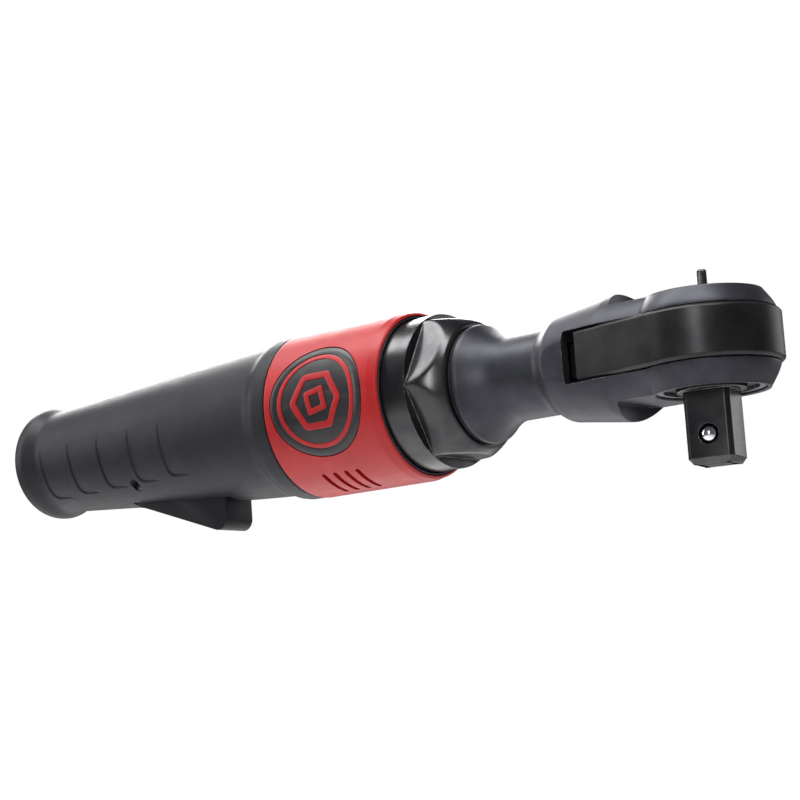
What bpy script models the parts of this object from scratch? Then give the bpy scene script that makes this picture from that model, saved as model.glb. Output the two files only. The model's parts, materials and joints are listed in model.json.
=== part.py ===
"""Air ratchet wrench with a 1/2 inch square drive, modelled as its separate pieces.

Every size below is in millimetres, and the pieces are scaled to metres as they are made. The
tool axis is X: the square drive's axis crosses it at x = 0 and the air inlet is at the -X end.
The tool_frame empty lifts the tool axis, so that the world origin is the centre of the square
drive's end face.
"""

from math import acos, asin, atan2, cos, hypot, pi, radians, sin, sqrt, tan

import bmesh
import bpy
from mathutils import Matrix, Vector

METRE = 0.001  # one millimetre in Blender's metres
LARGE = 36  # sides of a large round piece
MEDIUM = 24
SMALL = 16
GAP = 0.3  # between pieces that touch
RUN = 0.15  # round a shaft in its bearing

# Motor and casing radii
MOTOR_BORE = 17.3
CASE_WALL = 2.2  # casing wall at its threaded front end
CORE_WALL = 3.0  # casing wall inside the front of the grip
NUT_WALL = 2.6
SLEEVE_LIP = 1.35  # sleeve wall round the nut
SLEEVE_WALL = 2.6
END_RING_WALL = 0.4
GRIP_WALL = 2.6
WAIST_RADIUS = 16.6
LIP_RADIUS = 18.25
LIP_LENGTH = 10.0  # rear face to the waist
LIP_CREST = 5.0  # rear face to the lip's crest
LIP_ROUND = 3.0  # how far the lip's round edge falls to the rear face
COLLAR_STEP = 0.2  # the grip's front collar is this much smaller than the sleeve
COLLAR_LENGTH = 4.8
COLLAR_RAMP = 5.0

# Lengths along the tool axis, from the square drive back to the air inlet
CRANK_ARM = 40.0  # square drive axis to the middle of the drive bushing
WINDOW_BACK = 36.4  # square drive axis to the rear end of the side windows
HEAD_LENGTH = 48.7
NECK_LENGTH = 12.3
CONE_LENGTH = 10.5
CONE_LIP = 1.4
SEAL_WIDTH = 0.4
NUT_LENGTH = 23.4
NUT_THREAD = 10.7  # how far the casing reaches into the nut
NUT_NOSE = 10.6  # length of the nut's curved nose
SLEEVE_OVERLAP = 3.7  # how far the sleeve covers the nut
SLEEVE_LENGTH = 42.1
GRIP_LENGTH = 116.2
SLEEVE_SEAM = 0.5
REAR_RECESS = 5.2  # the casing's rear face lies this deep in the grip's lip

# Ratchet head
HEAD_RADIUS = 18.9
SHOULDER_BACK = 25.6  # square drive axis to the shoulders behind the ears
BODY_FRONT = 8.0  # square drive axis to the front of the round body, inside the ears
CHEEK_HALF = 17.2  # half the width over the flat cheeks at the body's front
CHEEK_ANGLE = radians(4.25)
EAR_TAPER = 3.3  # how far an ear's round end closes in towards its outer face
SPOTFACE = 6.2  # the spot faces reach this far past the head's radius
NECK_RADIUS = 12.1
NECK_WALL = 2.2
HEAD_BACK_RADIUS = 17.5
FLARE_RADIUS = 15.2
FLARE_LENGTH = 6.5
YOKE_THICKNESS = 14.0
YOKE_RISE = 0.5  # the yoke's middle plane above the tool axis
YOKE_PROUD = 1.2  # the yoke's round end stands this far out of the ears
YOKE_WALL = 5.9
YOKE_CHAMFER = 0.8
YOKE_STEP = 4.0  # window's rear end to the yoke's wide part
YOKE_TAIL_HEIGHT = 9.6
TINE = 2.6
UPPER_EAR = 5.2
LOWER_EAR = 6.3
RATCHET_TEETH = 72
RATCHET_DEPTH = 0.8
CRANK_THROW = 1.8
CRANK_PIN_RADIUS = 2.0
BUSH_WALL = 0.95
BUSH_LENGTH = 7.0

# Square drive
DRIVE_SQUARE = 12.7
DRIVE_CORNER = 1.1
DRIVE_LENGTH = 19.25
DRIVE_CHAMFER = 1.5
DRIVE_TURN = radians(12.6)
BALL_RADIUS = 2.35
BALL_PROUD = 0.9
BALL_DROP = 11.6  # lower ear to the ball's centre
BALL_SPRING_WIRE = 0.3
BUSHING_WALL = 1.2
RING_GROOVE = 0.6
RING_THICKNESS = 0.7
RING_TURN = radians(-118)  # direction of the retaining ring's gap

# Reversing pawl and knob
KNOB_RADIUS = 8.0
KNOB_HEIGHT = 2.4
KNOB_SINK = 1.6  # how deep the knob's seat lies in the upper ear
KNOB_TAB = (13.0, 2.7, 4.75)
KNOB_TAB_TURN = radians(69.4)  # thumb tab, from the plunger's direction
KNOB_TURN = radians(38.0)  # either side of its middle position
STEM_RADIUS = 3.0
PAWL_HEIGHT = 8.4
PAWL_SPREAD = radians(30.0)
PAWL_ROCK = radians(5.0)
PAWL_PIN_RADIUS = 1.2
PLUNGER_RADIUS = 1.0
PLUNGER_TRAVEL = 0.5

# Air motor and gears
CYLINDER_LENGTH = 38.0
PLATE_LENGTH = 7.8
BEARING_WIDTH = 5.0
BEARING_WALL = 3.8
JOURNAL_RADIUS = 4.9
ROTOR_RADIUS = 12.4
BORE_OFFSET = 1.3
VANES = 5
VANE_THICKNESS = 1.2
VANE_DEPTH = 5.2
VANE_TRAVEL = 0.8
RING_GEAR_LENGTH = 8.1
RING_GEAR_WALL = 1.4
SUN_TEETH = 12
PLANET_TEETH = 15
PLANETS = 3
PRESSURE_ANGLE = radians(20)
BACKLASH = 0.26
PLANET_PIN_RADIUS = 1.9
CARRIER_LENGTH = 4.2
CRANK_BEARING_WALL = 2.3

# Throttle
LEVER_PIN_BACK = 52.4  # grip's rear face to the lever pin
LEVER_PIN_DROP = 13.7
LEVER_PIN_RADIUS = 1.5
LEVER_WIDTH = 12.0
LEVER_LENGTH = 30.0  # pin to the lever's front face
LEVER_HEEL = 7.5  # pin to the lever's rear end
LEVER_DROP = 17.3  # pin to the lever's lowest corner
LEVER_TRAVEL = radians(7.0)
VALVE_ARM = 14.0  # lever pin to the valve stem
STEM_PIN_RADIUS = 1.6
VALVE_HEAD_RADIUS = 4.4
VALVE_SEAT = -3.5  # height of the valve seat over the tool axis
VALVE_HEAD_HEIGHT = 2.4
VALVE_SPRING_HEIGHT = 8.0
VALVE_SPRING_WIRE = 0.45
VALVE_WALL = 1.4
PLUG_HEIGHT = 3.0
AIR_PASSAGE = 2.6

# Air inlet
INLET_HEX = 19.0
INLET_HEX_LENGTH = 3.6
INLET_THREAD = 8.6
INLET_BORE = 5.7
INLET_LENGTH = 13.0
SCREEN_THICKNESS = 1.6

# Exhaust
VENTS = 4  # on each side
VENT_PITCH = 4.2
VENT_WIDTH = 1.6
VENT_SPREAD = radians(28)
VENT_TURN = radians(22)  # middle of a vent, from straight down
VENT_FRONT = 16.9  # sleeve's front rim to the first vent
FELT_THICKNESS = 1.3
BADGE_RADIUS = 17.0
BADGE_BACK = 22.4  # sleeve's front rim to the badge's centre
BADGE_THICKNESS = 0.45

# Radii that follow
case_spigot = MOTOR_BORE + CASE_WALL
nut_radius = case_spigot + GAP + NUT_WALL
sleeve_rim_bore = nut_radius + END_RING_WALL + 2 * GAP + 0.05
sleeve_radius = sleeve_rim_bore + SLEEVE_LIP
sleeve_bore = sleeve_radius - SLEEVE_WALL
case_radius = sleeve_bore - GAP
collar_radius = sleeve_radius - COLLAR_STEP
grip_front_radius = MOTOR_BORE + CORE_WALL + GRIP_WALL
head_thread = MOTOR_BORE - 1.0
cone_radius = head_thread + 0.8
nut_front_bore = head_thread + GAP
nut_flat = nut_front_bore + 2.8
nut_front_radius = cone_radius + 0.9
neck_bore = NECK_RADIUS - NECK_WALL
crank_bearing_radius = neck_bore - GAP
crank_radius = crank_bearing_radius - CRANK_BEARING_WALL - RUN

# Places along the tool axis that follow
x_neck = -HEAD_LENGTH
x_cone_front = x_neck - NECK_LENGTH
x_cone_back = x_cone_front - CONE_LENGTH
x_seal_front = x_cone_back - CONE_LIP - GAP
x_nut_front = x_seal_front - SEAL_WIDTH - GAP
x_nut_back = x_nut_front - NUT_LENGTH
x_case_front = x_nut_back + NUT_THREAD
x_head_back = x_case_front + GAP
x_sleeve_front = x_nut_back + SLEEVE_OVERLAP
x_sleeve_back = x_sleeve_front - SLEEVE_LENGTH
x_grip_front = x_sleeve_back - SLEEVE_SEAM
x_grip_back = x_grip_front - GRIP_LENGTH
x_case_back = x_grip_back + REAR_RECESS
x_waist = x_grip_back + LIP_LENGTH
x_ramp_front = x_grip_front - COLLAR_LENGTH
x_ramp_back = x_ramp_front - COLLAR_RAMP
x_ring_front = x_case_front - GAP
x_ring_back = x_ring_front - RING_GEAR_LENGTH
x_front_plate = x_ring_back - GAP
x_cylinder_front = x_front_plate - PLATE_LENGTH - GAP
x_cylinder_back = x_cylinder_front - CYLINDER_LENGTH
x_rear_plate = x_cylinder_back - GAP
x_bore_floor = x_rear_plate - PLATE_LENGTH - GAP

# Heights in the head that follow
yoke_top = YOKE_RISE + YOKE_THICKNESS / 2
yoke_bottom = YOKE_RISE - YOKE_THICKNESS / 2
slot_top = yoke_top + GAP
slot_bottom = yoke_bottom - GAP
ear_top = slot_top + UPPER_EAR
ear_bottom = slot_bottom - LOWER_EAR
knob_seat = ear_top - KNOB_SINK
drive_end = ear_bottom - DRIVE_LENGTH
AXIS_HEIGHT = -drive_end

# Ratchet radii that follow
yoke_radius = HEAD_RADIUS + YOKE_PROUD
tooth_root = yoke_radius - YOKE_WALL
tooth_tip = tooth_root - RATCHET_DEPTH
drum_radius = tooth_tip - 0.4
anvil_bushing_radius = drum_radius + RUN + BUSHING_WALL
lower_ear_bore = anvil_bushing_radius + GAP
top_journal = drum_radius - 4.4
top_bushing_radius = top_journal + RUN + BUSHING_WALL
upper_ear_bore = top_bushing_radius + GAP
yoke_swing = asin(CRANK_THROW / CRANK_ARM)
bush_radius = CRANK_PIN_RADIUS + RUN + BUSH_WALL
fork_half = bush_radius + 2 * CRANK_THROW + GAP
tine_half = fork_half + TINE
cavity_half = tine_half + CRANK_THROW + 2 * GAP
x_tail_room = -CRANK_ARM - BUSH_LENGTH / 2 - 2.5
ball_height = ear_bottom - BALL_DROP

# Gear sizes that follow
ring_teeth = SUN_TEETH + 2 * PLANET_TEETH
module = (MOTOR_BORE - GAP - RING_GEAR_WALL) / (ring_teeth / 2 + 1.25)
planet_orbit = module * (SUN_TEETH + PLANET_TEETH) / 2
x_gear_front = x_ring_front - 1.4
x_gear_back = x_ring_back + 0.9

# Throttle places that follow
x_lever_pin = x_grip_back + LEVER_PIN_BACK
x_valve = x_lever_pin + VALVE_ARM
slot_half = LEVER_WIDTH / 2 + GAP
slot_roof = -LEVER_PIN_DROP + 4.0
valve_bore = VALVE_HEAD_RADIUS + VALVE_WALL / 2
stem_foot = -LEVER_PIN_DROP + 2.2 + GAP
head_top = VALVE_SEAT + GAP + VALVE_HEAD_HEIGHT
plug_bottom = head_top + GAP + VALVE_SPRING_HEIGHT + GAP

bearing_radius = JOURNAL_RADIUS + RUN + BEARING_WALL


# ---------------------------------------------------------------- scene and materials


def clear_scene():
    for old in list(bpy.data.objects):
        bpy.data.objects.remove(old)
    for old in list(bpy.data.materials):
        bpy.data.materials.remove(old)


def make_material(name, colour, roughness, metallic):
    material = bpy.data.materials.new(name)
    material.use_nodes = True
    shader = material.node_tree.nodes["Principled BSDF"]
    shader.inputs["Base Color"].default_value = (*colour, 1)
    shader.inputs["Roughness"].default_value = roughness
    shader.inputs["Metallic"].default_value = metallic
    material.diffuse_color = (*colour, 1)
    return material


FINISHES = {
    "rubber": ((0.028, 0.029, 0.032), 0.6, 0.0),
    "red_plastic": ((0.55, 0.025, 0.02), 0.42, 0.0),
    "badge_plastic": ((0.02, 0.02, 0.022), 0.35, 0.0),
    "black_steel": ((0.03, 0.031, 0.034), 0.22, 0.9),
    "dark_steel": ((0.05, 0.053, 0.06), 0.35, 0.9),
    "steel": ((0.55, 0.56, 0.58), 0.3, 1.0),
    "spring_steel": ((0.35, 0.36, 0.38), 0.3, 1.0),
    "chrome": ((0.8, 0.81, 0.83), 0.12, 1.0),
    "aluminium": ((0.62, 0.63, 0.65), 0.4, 1.0),
    "bronze": ((0.5, 0.32, 0.12), 0.4, 1.0),
    "brass": ((0.62, 0.47, 0.18), 0.35, 1.0),
    "phenolic": ((0.25, 0.12, 0.05), 0.6, 0.0),
    "felt": ((0.42, 0.4, 0.36), 0.95, 0.0),
    "seal_rubber": ((0.012, 0.012, 0.012), 0.7, 0.0),
}


# ---------------------------------------------------------------- shape helpers


def closed_up(bm):
    bmesh.ops.remove_doubles(bm, verts=bm.verts, dist=1e-4)
    bmesh.ops.recalc_face_normals(bm, faces=bm.faces)
    return bm


def turned(profile, steps=LARGE, sweep=2 * pi, start=0.0):
    """Turns (x, radius) points about X. The outline closes on itself unless it ends on the axis."""
    bm = bmesh.new()
    spoke = Matrix.Rotation(start, 3, "X") @ Vector((0, 0, 1))
    verts = [bm.verts.new(Vector((x, 0, 0)) + radius * spoke) for x, radius in profile]
    edges = [bm.edges.new(pair) for pair in zip(verts, verts[1:])]
    if profile[0][1] > 0:
        edges.append(bm.edges.new((verts[-1], verts[0])))
    geometry = verts + edges
    if sweep < 2 * pi:
        geometry.append(bm.faces.new(verts))
    full = sweep == 2 * pi
    bmesh.ops.spin(
        bm, geom=geometry, cent=(0, 0, 0), axis=(1, 0, 0), angle=sweep, steps=steps, use_merge=full
    )
    return closed_up(bm)


def ring(x_low, x_high, inner, outer, steps=LARGE, edge=0.0):
    """A turned ring, with an optional chamfer on its outer edges."""
    if not edge:
        profile = [(x_low, inner), (x_high, inner), (x_high, outer), (x_low, outer)]
    else:
        profile = [
            (x_low, inner),
            (x_high, inner),
            (x_high, outer - edge),
            (x_high - edge, outer),
            (x_low + edge, outer),
            (x_low, outer - edge),
        ]
    return turned(profile, steps)


def lofted(rings):
    """Joins rings of points, each with the same number of points, into one closed skin."""
    bm = bmesh.new()
    loops = [[bm.verts.new(point) for point in points] for points in rings]
    for low, high in zip(loops, loops[1:]):
        for i in range(len(low)):
            j = (i + 1) % len(low)
            bm.faces.new((low[i], low[j], high[j], high[i]))
    bm.faces.new(loops[0])
    bm.faces.new(loops[-1])
    return closed_up(bm)


def prism(outline, low, high, axis="Z"):
    """Extrudes an outline of (a, b) points from low to high along an axis."""
    place = {
        "X": lambda a, b, h: (h, a, b),
        "Y": lambda a, b, h: (a, h, b),
        "Z": lambda a, b, h: (a, b, h),
    }[axis]
    return lofted([[place(a, b, h) for a, b in outline] for h in (low, high)])


def rod(start, end, radius, steps=SMALL):
    """A round bar between two points."""
    start, end = Vector(start), Vector(end)
    along = end - start
    turn = Vector((0, 0, 1)).rotation_difference(along).to_matrix().to_4x4()
    bm = bmesh.new()
    bmesh.ops.create_cone(
        bm,
        cap_ends=True,
        segments=steps,
        radius1=radius,
        radius2=radius,
        depth=along.length,
        matrix=Matrix.Translation((start + end) / 2) @ turn,
    )
    return bm


def block(low, high):
    """A box between two corners."""
    (x0, y0, z0), (x1, y1, z1) = low, high
    return prism([(x0, y0), (x1, y0), (x1, y1), (x0, y1)], z0, z1)


def arc(radius, start, end, steps, centre=(0.0, 0.0)):
    """Points along an arc, both ends included."""
    angles = [start + (end - start) * i / steps for i in range(steps + 1)]
    return [(centre[0] + radius * cos(a), centre[1] + radius * sin(a)) for a in angles]


def polygon(apothem, sides, turn=0.0):
    """A regular polygon's corners from its flat-to-centre distance."""
    corner = apothem / cos(pi / sides)
    return [
        (corner * cos(turn + 2 * pi * i / sides), corner * sin(turn + 2 * pi * i / sides))
        for i in range(sides)
    ]


def moved(bm, x=0.0, y=0.0, z=0.0):
    bmesh.ops.translate(bm, verts=bm.verts, vec=(x, y, z))
    return bm


def spun(bm, angle, axis="X"):
    bmesh.ops.rotate(bm, verts=bm.verts, matrix=Matrix.Rotation(angle, 3, axis))
    return bm


# ---------------------------------------------------------------- object helpers


def link(name, data, finish, at, turn):
    made = bpy.data.objects.new(name, data)
    bpy.context.scene.collection.objects.link(made)
    made.parent = tool_frame
    made.location = Vector(at) * METRE
    made.rotation_euler = turn
    if finish:
        data.materials.append(make_material(name, *FINISHES[finish]))
    return made


def mesh_from(name, bm):
    mesh = bpy.data.meshes.new(name)
    bmesh.ops.scale(bm, verts=bm.verts, vec=(METRE, METRE, METRE))
    bm.to_mesh(mesh)
    bm.free()
    mesh.shade_smooth()
    mesh.set_sharp_from_angle(angle=radians(28))
    return mesh


def piece(name, bm, finish, at=(0, 0, 0), turn=(0, 0, 0)):
    """One visible solid, placed in the tool frame."""
    return link(name, mesh_from(name, bm), finish, at, turn)


def helper(owner, label, bm, operation):
    """A hidden solid in its owner's own frame, cut from it or joined to it."""
    name = f"{owner.name}_{label}"
    made = link(name, mesh_from(name, bm), None, (0, 0, 0), (0, 0, 0))
    made.parent = owner
    made.hide_render = True
    made.display_type = "WIRE"
    modifier = owner.modifiers.new(label, "BOOLEAN")
    modifier.operation = operation
    modifier.solver = "EXACT"
    modifier.object = made


def cut(owner, label, bm):
    helper(owner, label, bm, "DIFFERENCE")


def join(owner, label, bm):
    helper(owner, label, bm, "UNION")


def coil(name, length, radius, wire, turns, at=(0, 0, 0), turn=(0, 0, 0)):
    """A compression spring along its own +Z, starting at its origin."""
    per_turn = 8
    curve = bpy.data.curves.new(name, "CURVE")
    curve.dimensions = "3D"
    curve.bevel_depth = wire * METRE
    curve.bevel_resolution = 0
    curve.use_fill_caps = True
    spline = curve.splines.new("POLY")
    count = turns * per_turn
    spline.points.add(count)
    for i, point in enumerate(spline.points):
        angle = 2 * pi * i / per_turn
        height = wire + (length - 2 * wire) * i / count
        place = Vector((radius * cos(angle), radius * sin(angle), height)) * METRE
        point.co = (*place, 1)
    return link(name, curve, "spring_steel", at, turn)


# ---------------------------------------------------------------- grip, casing and sleeve


def grip_radius(x):
    """The grip's taper from its waist to the collar ramp, a little fuller towards the front."""
    t = (x - x_waist) / (x_ramp_back - x_waist)
    return WAIST_RADIUS + (grip_front_radius - WAIST_RADIUS) * (t + 0.35 * t * t * (1 - t))


def taper(offset, start, steps):
    """Points along the grip's taper, offset inwards, from a start to the collar ramp."""
    xs = [start + (x_ramp_back - start) * i / steps for i in range(steps + 1)]
    return [(x, grip_radius(x) - offset) for x in xs]


def lever_slot():
    """The opening for the throttle lever, out through the underside."""
    swing = LEVER_DROP * sin(LEVER_TRAVEL)
    low = (x_lever_pin - LEVER_HEEL - 2.0, -slot_half, -40)
    high = (x_lever_pin + LEVER_LENGTH + swing, slot_half, slot_roof)
    return block(low, high)


def make_motor_housing():
    """The alloy casing: handle core, motor bore and threaded front end, bored for the air."""
    core = taper(GRIP_WALL, x_waist, 6)
    profile = [(x_case_back, 0)]
    profile += [(x_case_back, core[0][1])]
    profile += core
    profile += [(x_ramp_front, case_radius), (x_nut_back - GAP - 0.4, case_radius)]
    profile += [(x_nut_back - GAP - 0.4, case_spigot), (x_case_front, case_spigot)]
    profile += [(x_case_front, MOTOR_BORE), (x_bore_floor, MOTOR_BORE), (x_bore_floor, 0)]
    housing = piece("motor_housing", turned(profile), "aluminium")
    inlet_end = x_case_back + INLET_LENGTH + SCREEN_THICKNESS + 2 * GAP
    inlet = [
        (x_case_back - 1, 0),
        (x_case_back - 1, INLET_THREAD + GAP),
        (inlet_end, INLET_THREAD + GAP),
        (inlet_end + 6, AIR_PASSAGE),
        (inlet_end + 6, 0),
    ]
    cut(housing, "inlet_bore", turned(inlet[::-1], MEDIUM))
    spring_side = head_top + 3.0
    cut(
        housing,
        "supply_passage",
        rod((inlet_end + 2, 0, 0), (x_valve, 0, spring_side), AIR_PASSAGE, SMALL),
    )
    cut(housing, "valve_bore", rod((x_valve, 0, VALVE_SEAT), (x_valve, 0, 30), valve_bore, MEDIUM))
    cut(
        housing,
        "stem_bore",
        rod((x_valve, 0, slot_roof - 5), (x_valve, 0, VALVE_SEAT + 1), 2 * STEM_PIN_RADIUS, MEDIUM),
    )
    feed = (x_valve, 0, (VALVE_SEAT + slot_roof) / 2 + 1.2)
    cut(
        housing,
        "motor_feed",
        rod(feed, (x_bore_floor + 2, 0, -MOTOR_BORE / 2), AIR_PASSAGE - 0.6, SMALL),
    )
    cut(housing, "lever_slot", lever_slot())
    pin = rod(
        (x_lever_pin, -30, -LEVER_PIN_DROP),
        (x_lever_pin, 30, -LEVER_PIN_DROP),
        LEVER_PIN_RADIUS + GAP,
    )
    cut(housing, "pin_hole", pin)
    x_felt_front, x_felt_back = felt_span()
    groove = ring(
        x_felt_back - GAP,
        x_felt_front + GAP,
        case_radius - FELT_THICKNESS - GAP,
        case_radius + 3,
    )
    cut(housing, "felt_groove", groove)
    x_port = (x_felt_front + x_felt_back) / 2
    for side in (-1, 1):
        port = rod((x_port, side * 4, -10), (x_port, side * 8, -30), 2.4, SMALL)
        cut(housing, f"exhaust_port_{side}", port)


def make_grip_cover():
    """The moulded rubber grip: flared rear lip, waist, taper and front collar."""
    lip = [
        (x_grip_back + LIP_CREST * (1 - cos(a)), LIP_RADIUS - LIP_ROUND * (1 - sin(a)))
        for a in (0, radians(22), radians(44), radians(66), radians(90))
    ]
    fall = x_waist - x_grip_back - LIP_CREST
    neck = [
        (
            x_grip_back + LIP_CREST + fall * t,
            LIP_RADIUS - (LIP_RADIUS - WAIST_RADIUS) * (3 * t * t - 2 * t**3),
        )
        for t in (0.25, 0.5, 0.75)
    ]
    outer = lip + neck + taper(0, x_waist, 7)
    outer += [(x_ramp_front, collar_radius), (x_grip_front - 0.5, collar_radius)]
    outer += [(x_grip_front, collar_radius - 0.5)]
    inner = taper(GRIP_WALL - GAP, x_waist, 6)
    inner = [(x_grip_back, inner[0][1])] + inner
    inner += [(x_ramp_front, case_radius + GAP), (x_grip_front, case_radius + GAP)]
    cover = piece("grip_cover", turned(outer + inner[::-1], 48), "rubber")
    cut(cover, "lever_slot", lever_slot())
    pin = rod(
        (x_lever_pin, -30, -LEVER_PIN_DROP),
        (x_lever_pin, 30, -LEVER_PIN_DROP),
        LEVER_PIN_RADIUS + GAP,
    )
    cut(cover, "pin_hole", pin)


def wrapped_disc(radius, inner, outer, rings=3, steps=MEDIUM):
    """A round patch bent round the sleeve, facing -Y."""
    x_centre = x_sleeve_front - BADGE_BACK

    def place(rho, phi, height):
        angle = rho * sin(phi) / sleeve_radius
        return (x_centre + rho * cos(phi), -height * cos(angle), height * sin(angle))

    bm = bmesh.new()
    skins = []
    for height in (inner, outer):
        centre = bm.verts.new(place(0, 0, height))
        loops = [
            [bm.verts.new(place(radius * k / rings, 2 * pi * i / steps, height)) for i in range(steps)]
            for k in range(1, rings + 1)
        ]
        for i in range(steps):
            bm.faces.new((centre, loops[0][i], loops[0][(i + 1) % steps]))
        for low, high in zip(loops, loops[1:]):
            for i in range(steps):
                j = (i + 1) % steps
                bm.faces.new((low[i], low[j], high[j], high[i]))
        skins.append(loops[-1])
    for i in range(steps):
        j = (i + 1) % steps
        bm.faces.new((skins[0][i], skins[0][j], skins[1][j], skins[1][i]))
    return closed_up(bm)


def make_motor_sleeve():
    """The coloured sleeve round the motor, with exhaust slits underneath and a badge recess."""
    profile = [
        (x_sleeve_back, sleeve_bore),
        (x_nut_back - 2 * GAP, sleeve_bore),
        (x_nut_back - 2 * GAP, sleeve_rim_bore),
        (x_sleeve_front, sleeve_rim_bore),
        (x_sleeve_front, sleeve_rim_bore + 0.2),
        (x_sleeve_front - 0.5, sleeve_radius - 0.65),
        (x_sleeve_front - 1.4, sleeve_radius - 0.3),
        (x_sleeve_front - 3.0, sleeve_radius),
        (x_sleeve_back + 0.4, sleeve_radius),
        (x_sleeve_back, sleeve_radius - 0.4),
    ]
    sleeve = piece("motor_sleeve", turned(profile, LARGE), "red_plastic")
    recess = wrapped_disc(
        BADGE_RADIUS + GAP, sleeve_radius - BADGE_THICKNESS - GAP, sleeve_radius + 2
    )
    cut(sleeve, "badge_recess", recess)
    for vent in range(VENTS):
        x_mid = x_sleeve_front - VENT_FRONT - vent * VENT_PITCH
        low, high = x_mid - VENT_WIDTH / 2, x_mid + VENT_WIDTH / 2
        bounds = [(low, sleeve_bore - 1), (high, sleeve_bore - 1)]
        bounds += [(high, sleeve_radius + 1), (low, sleeve_radius + 1)]
        for side in (-1, 1):
            slit = turned(bounds, 4, VENT_SPREAD, pi + side * VENT_TURN - VENT_SPREAD / 2)
            cut(sleeve, f"vent_{vent + 1}_{side}", slit)


def make_sleeve_trim():
    badge = wrapped_disc(BADGE_RADIUS, sleeve_radius - BADGE_THICKNESS, sleeve_radius)
    piece("sleeve_badge", badge, "badge_plastic")
    inner = nut_radius + GAP + 0.05
    end_ring = ring(x_nut_back, x_sleeve_front + 0.1, inner, inner + END_RING_WALL)
    piece("sleeve_end_ring", end_ring, "dark_steel")


def felt_span():
    """Front and back of the exhaust felt, which lies behind all the vents."""
    front = x_sleeve_front - VENT_FRONT + 3.0
    back = x_sleeve_front - VENT_FRONT - (VENTS - 1) * VENT_PITCH - 3.0
    return front, back


def make_exhaust_felt():
    front, back = felt_span()
    outer = case_radius - 0.2
    felt = ring(back, front, outer - FELT_THICKNESS, outer)
    piece("exhaust_felt", felt, "felt")


def make_coupling_nut():
    """The nut that clamps the head to the casing, with a wrench hexagon milled in its front."""
    rise = nut_radius - nut_front_radius
    nose = [
        (x_nut_front - NUT_NOSE * t, nut_front_radius + rise * (1 - (1 - t) ** 2))
        for t in (0.08, 0.22, 0.36, 0.5, 0.64, 0.8, 1)
    ]
    profile = [
        (x_nut_back, case_spigot + GAP),
        (x_case_front + 2 * GAP, case_spigot + GAP),
        (x_case_front + 2 * GAP, nut_front_bore),
        (x_nut_front, nut_front_bore),
        (x_nut_front, nut_front_radius - 0.3),
    ]
    profile += nose
    profile += [(x_nut_back + 0.8, nut_radius), (x_nut_back, nut_radius - 0.6)]
    nut = piece("coupling_nut", turned(profile), "black_steel")
    outside = polygon(nut_radius + 10, 6)
    inside = polygon(nut_flat, 6)
    low, high = x_nut_front - 11.1, x_nut_front + 5
    rings = [
        [(low, a, b) for a, b in inside],
        [(low, a, b) for a, b in outside],
        [(high, a, b) for a, b in outside],
        [(high, a, b) for a, b in inside],
    ]
    mill = bmesh.new()
    loops = [[mill.verts.new(point) for point in points] for points in rings]
    for k in range(4):
        here, there = loops[k], loops[(k + 1) % 4]
        for i in range(6):
            j = (i + 1) % 6
            mill.faces.new((here[i], here[j], there[j], there[i]))
    cut(nut, "wrench_flats", closed_up(mill))


# ---------------------------------------------------------------- ratchet head


def head_outline(radius, x_back, half_back, inset=0.0):
    """A round end about the drive's axis, with sides running straight back to a flat tail."""
    back = (x_back, half_back - inset)
    reach = hypot(*back)
    tangent = atan2(back[1], back[0]) - acos((radius - inset) / reach)
    points = arc(radius - inset, -tangent, tangent, 24)
    return points + [back, (x_back, -half_back + inset)]


def chamfered_plate(outline, low, high, chamfer, rise):
    """A plate whose top and bottom rims are chamfered. outline(inset) gives its edge."""
    levels = [(low, chamfer), (low + rise, 0), (high - rise, 0), (high, chamfer)]
    return lofted([[(a, b, z) for a, b in outline(inset)] for z, inset in levels])


def cheek_half(x):
    """Half the width over the flat cheeks, which run in towards the neck."""
    return CHEEK_HALF + (x + BODY_FRONT) * tan(CHEEK_ANGLE)


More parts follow.
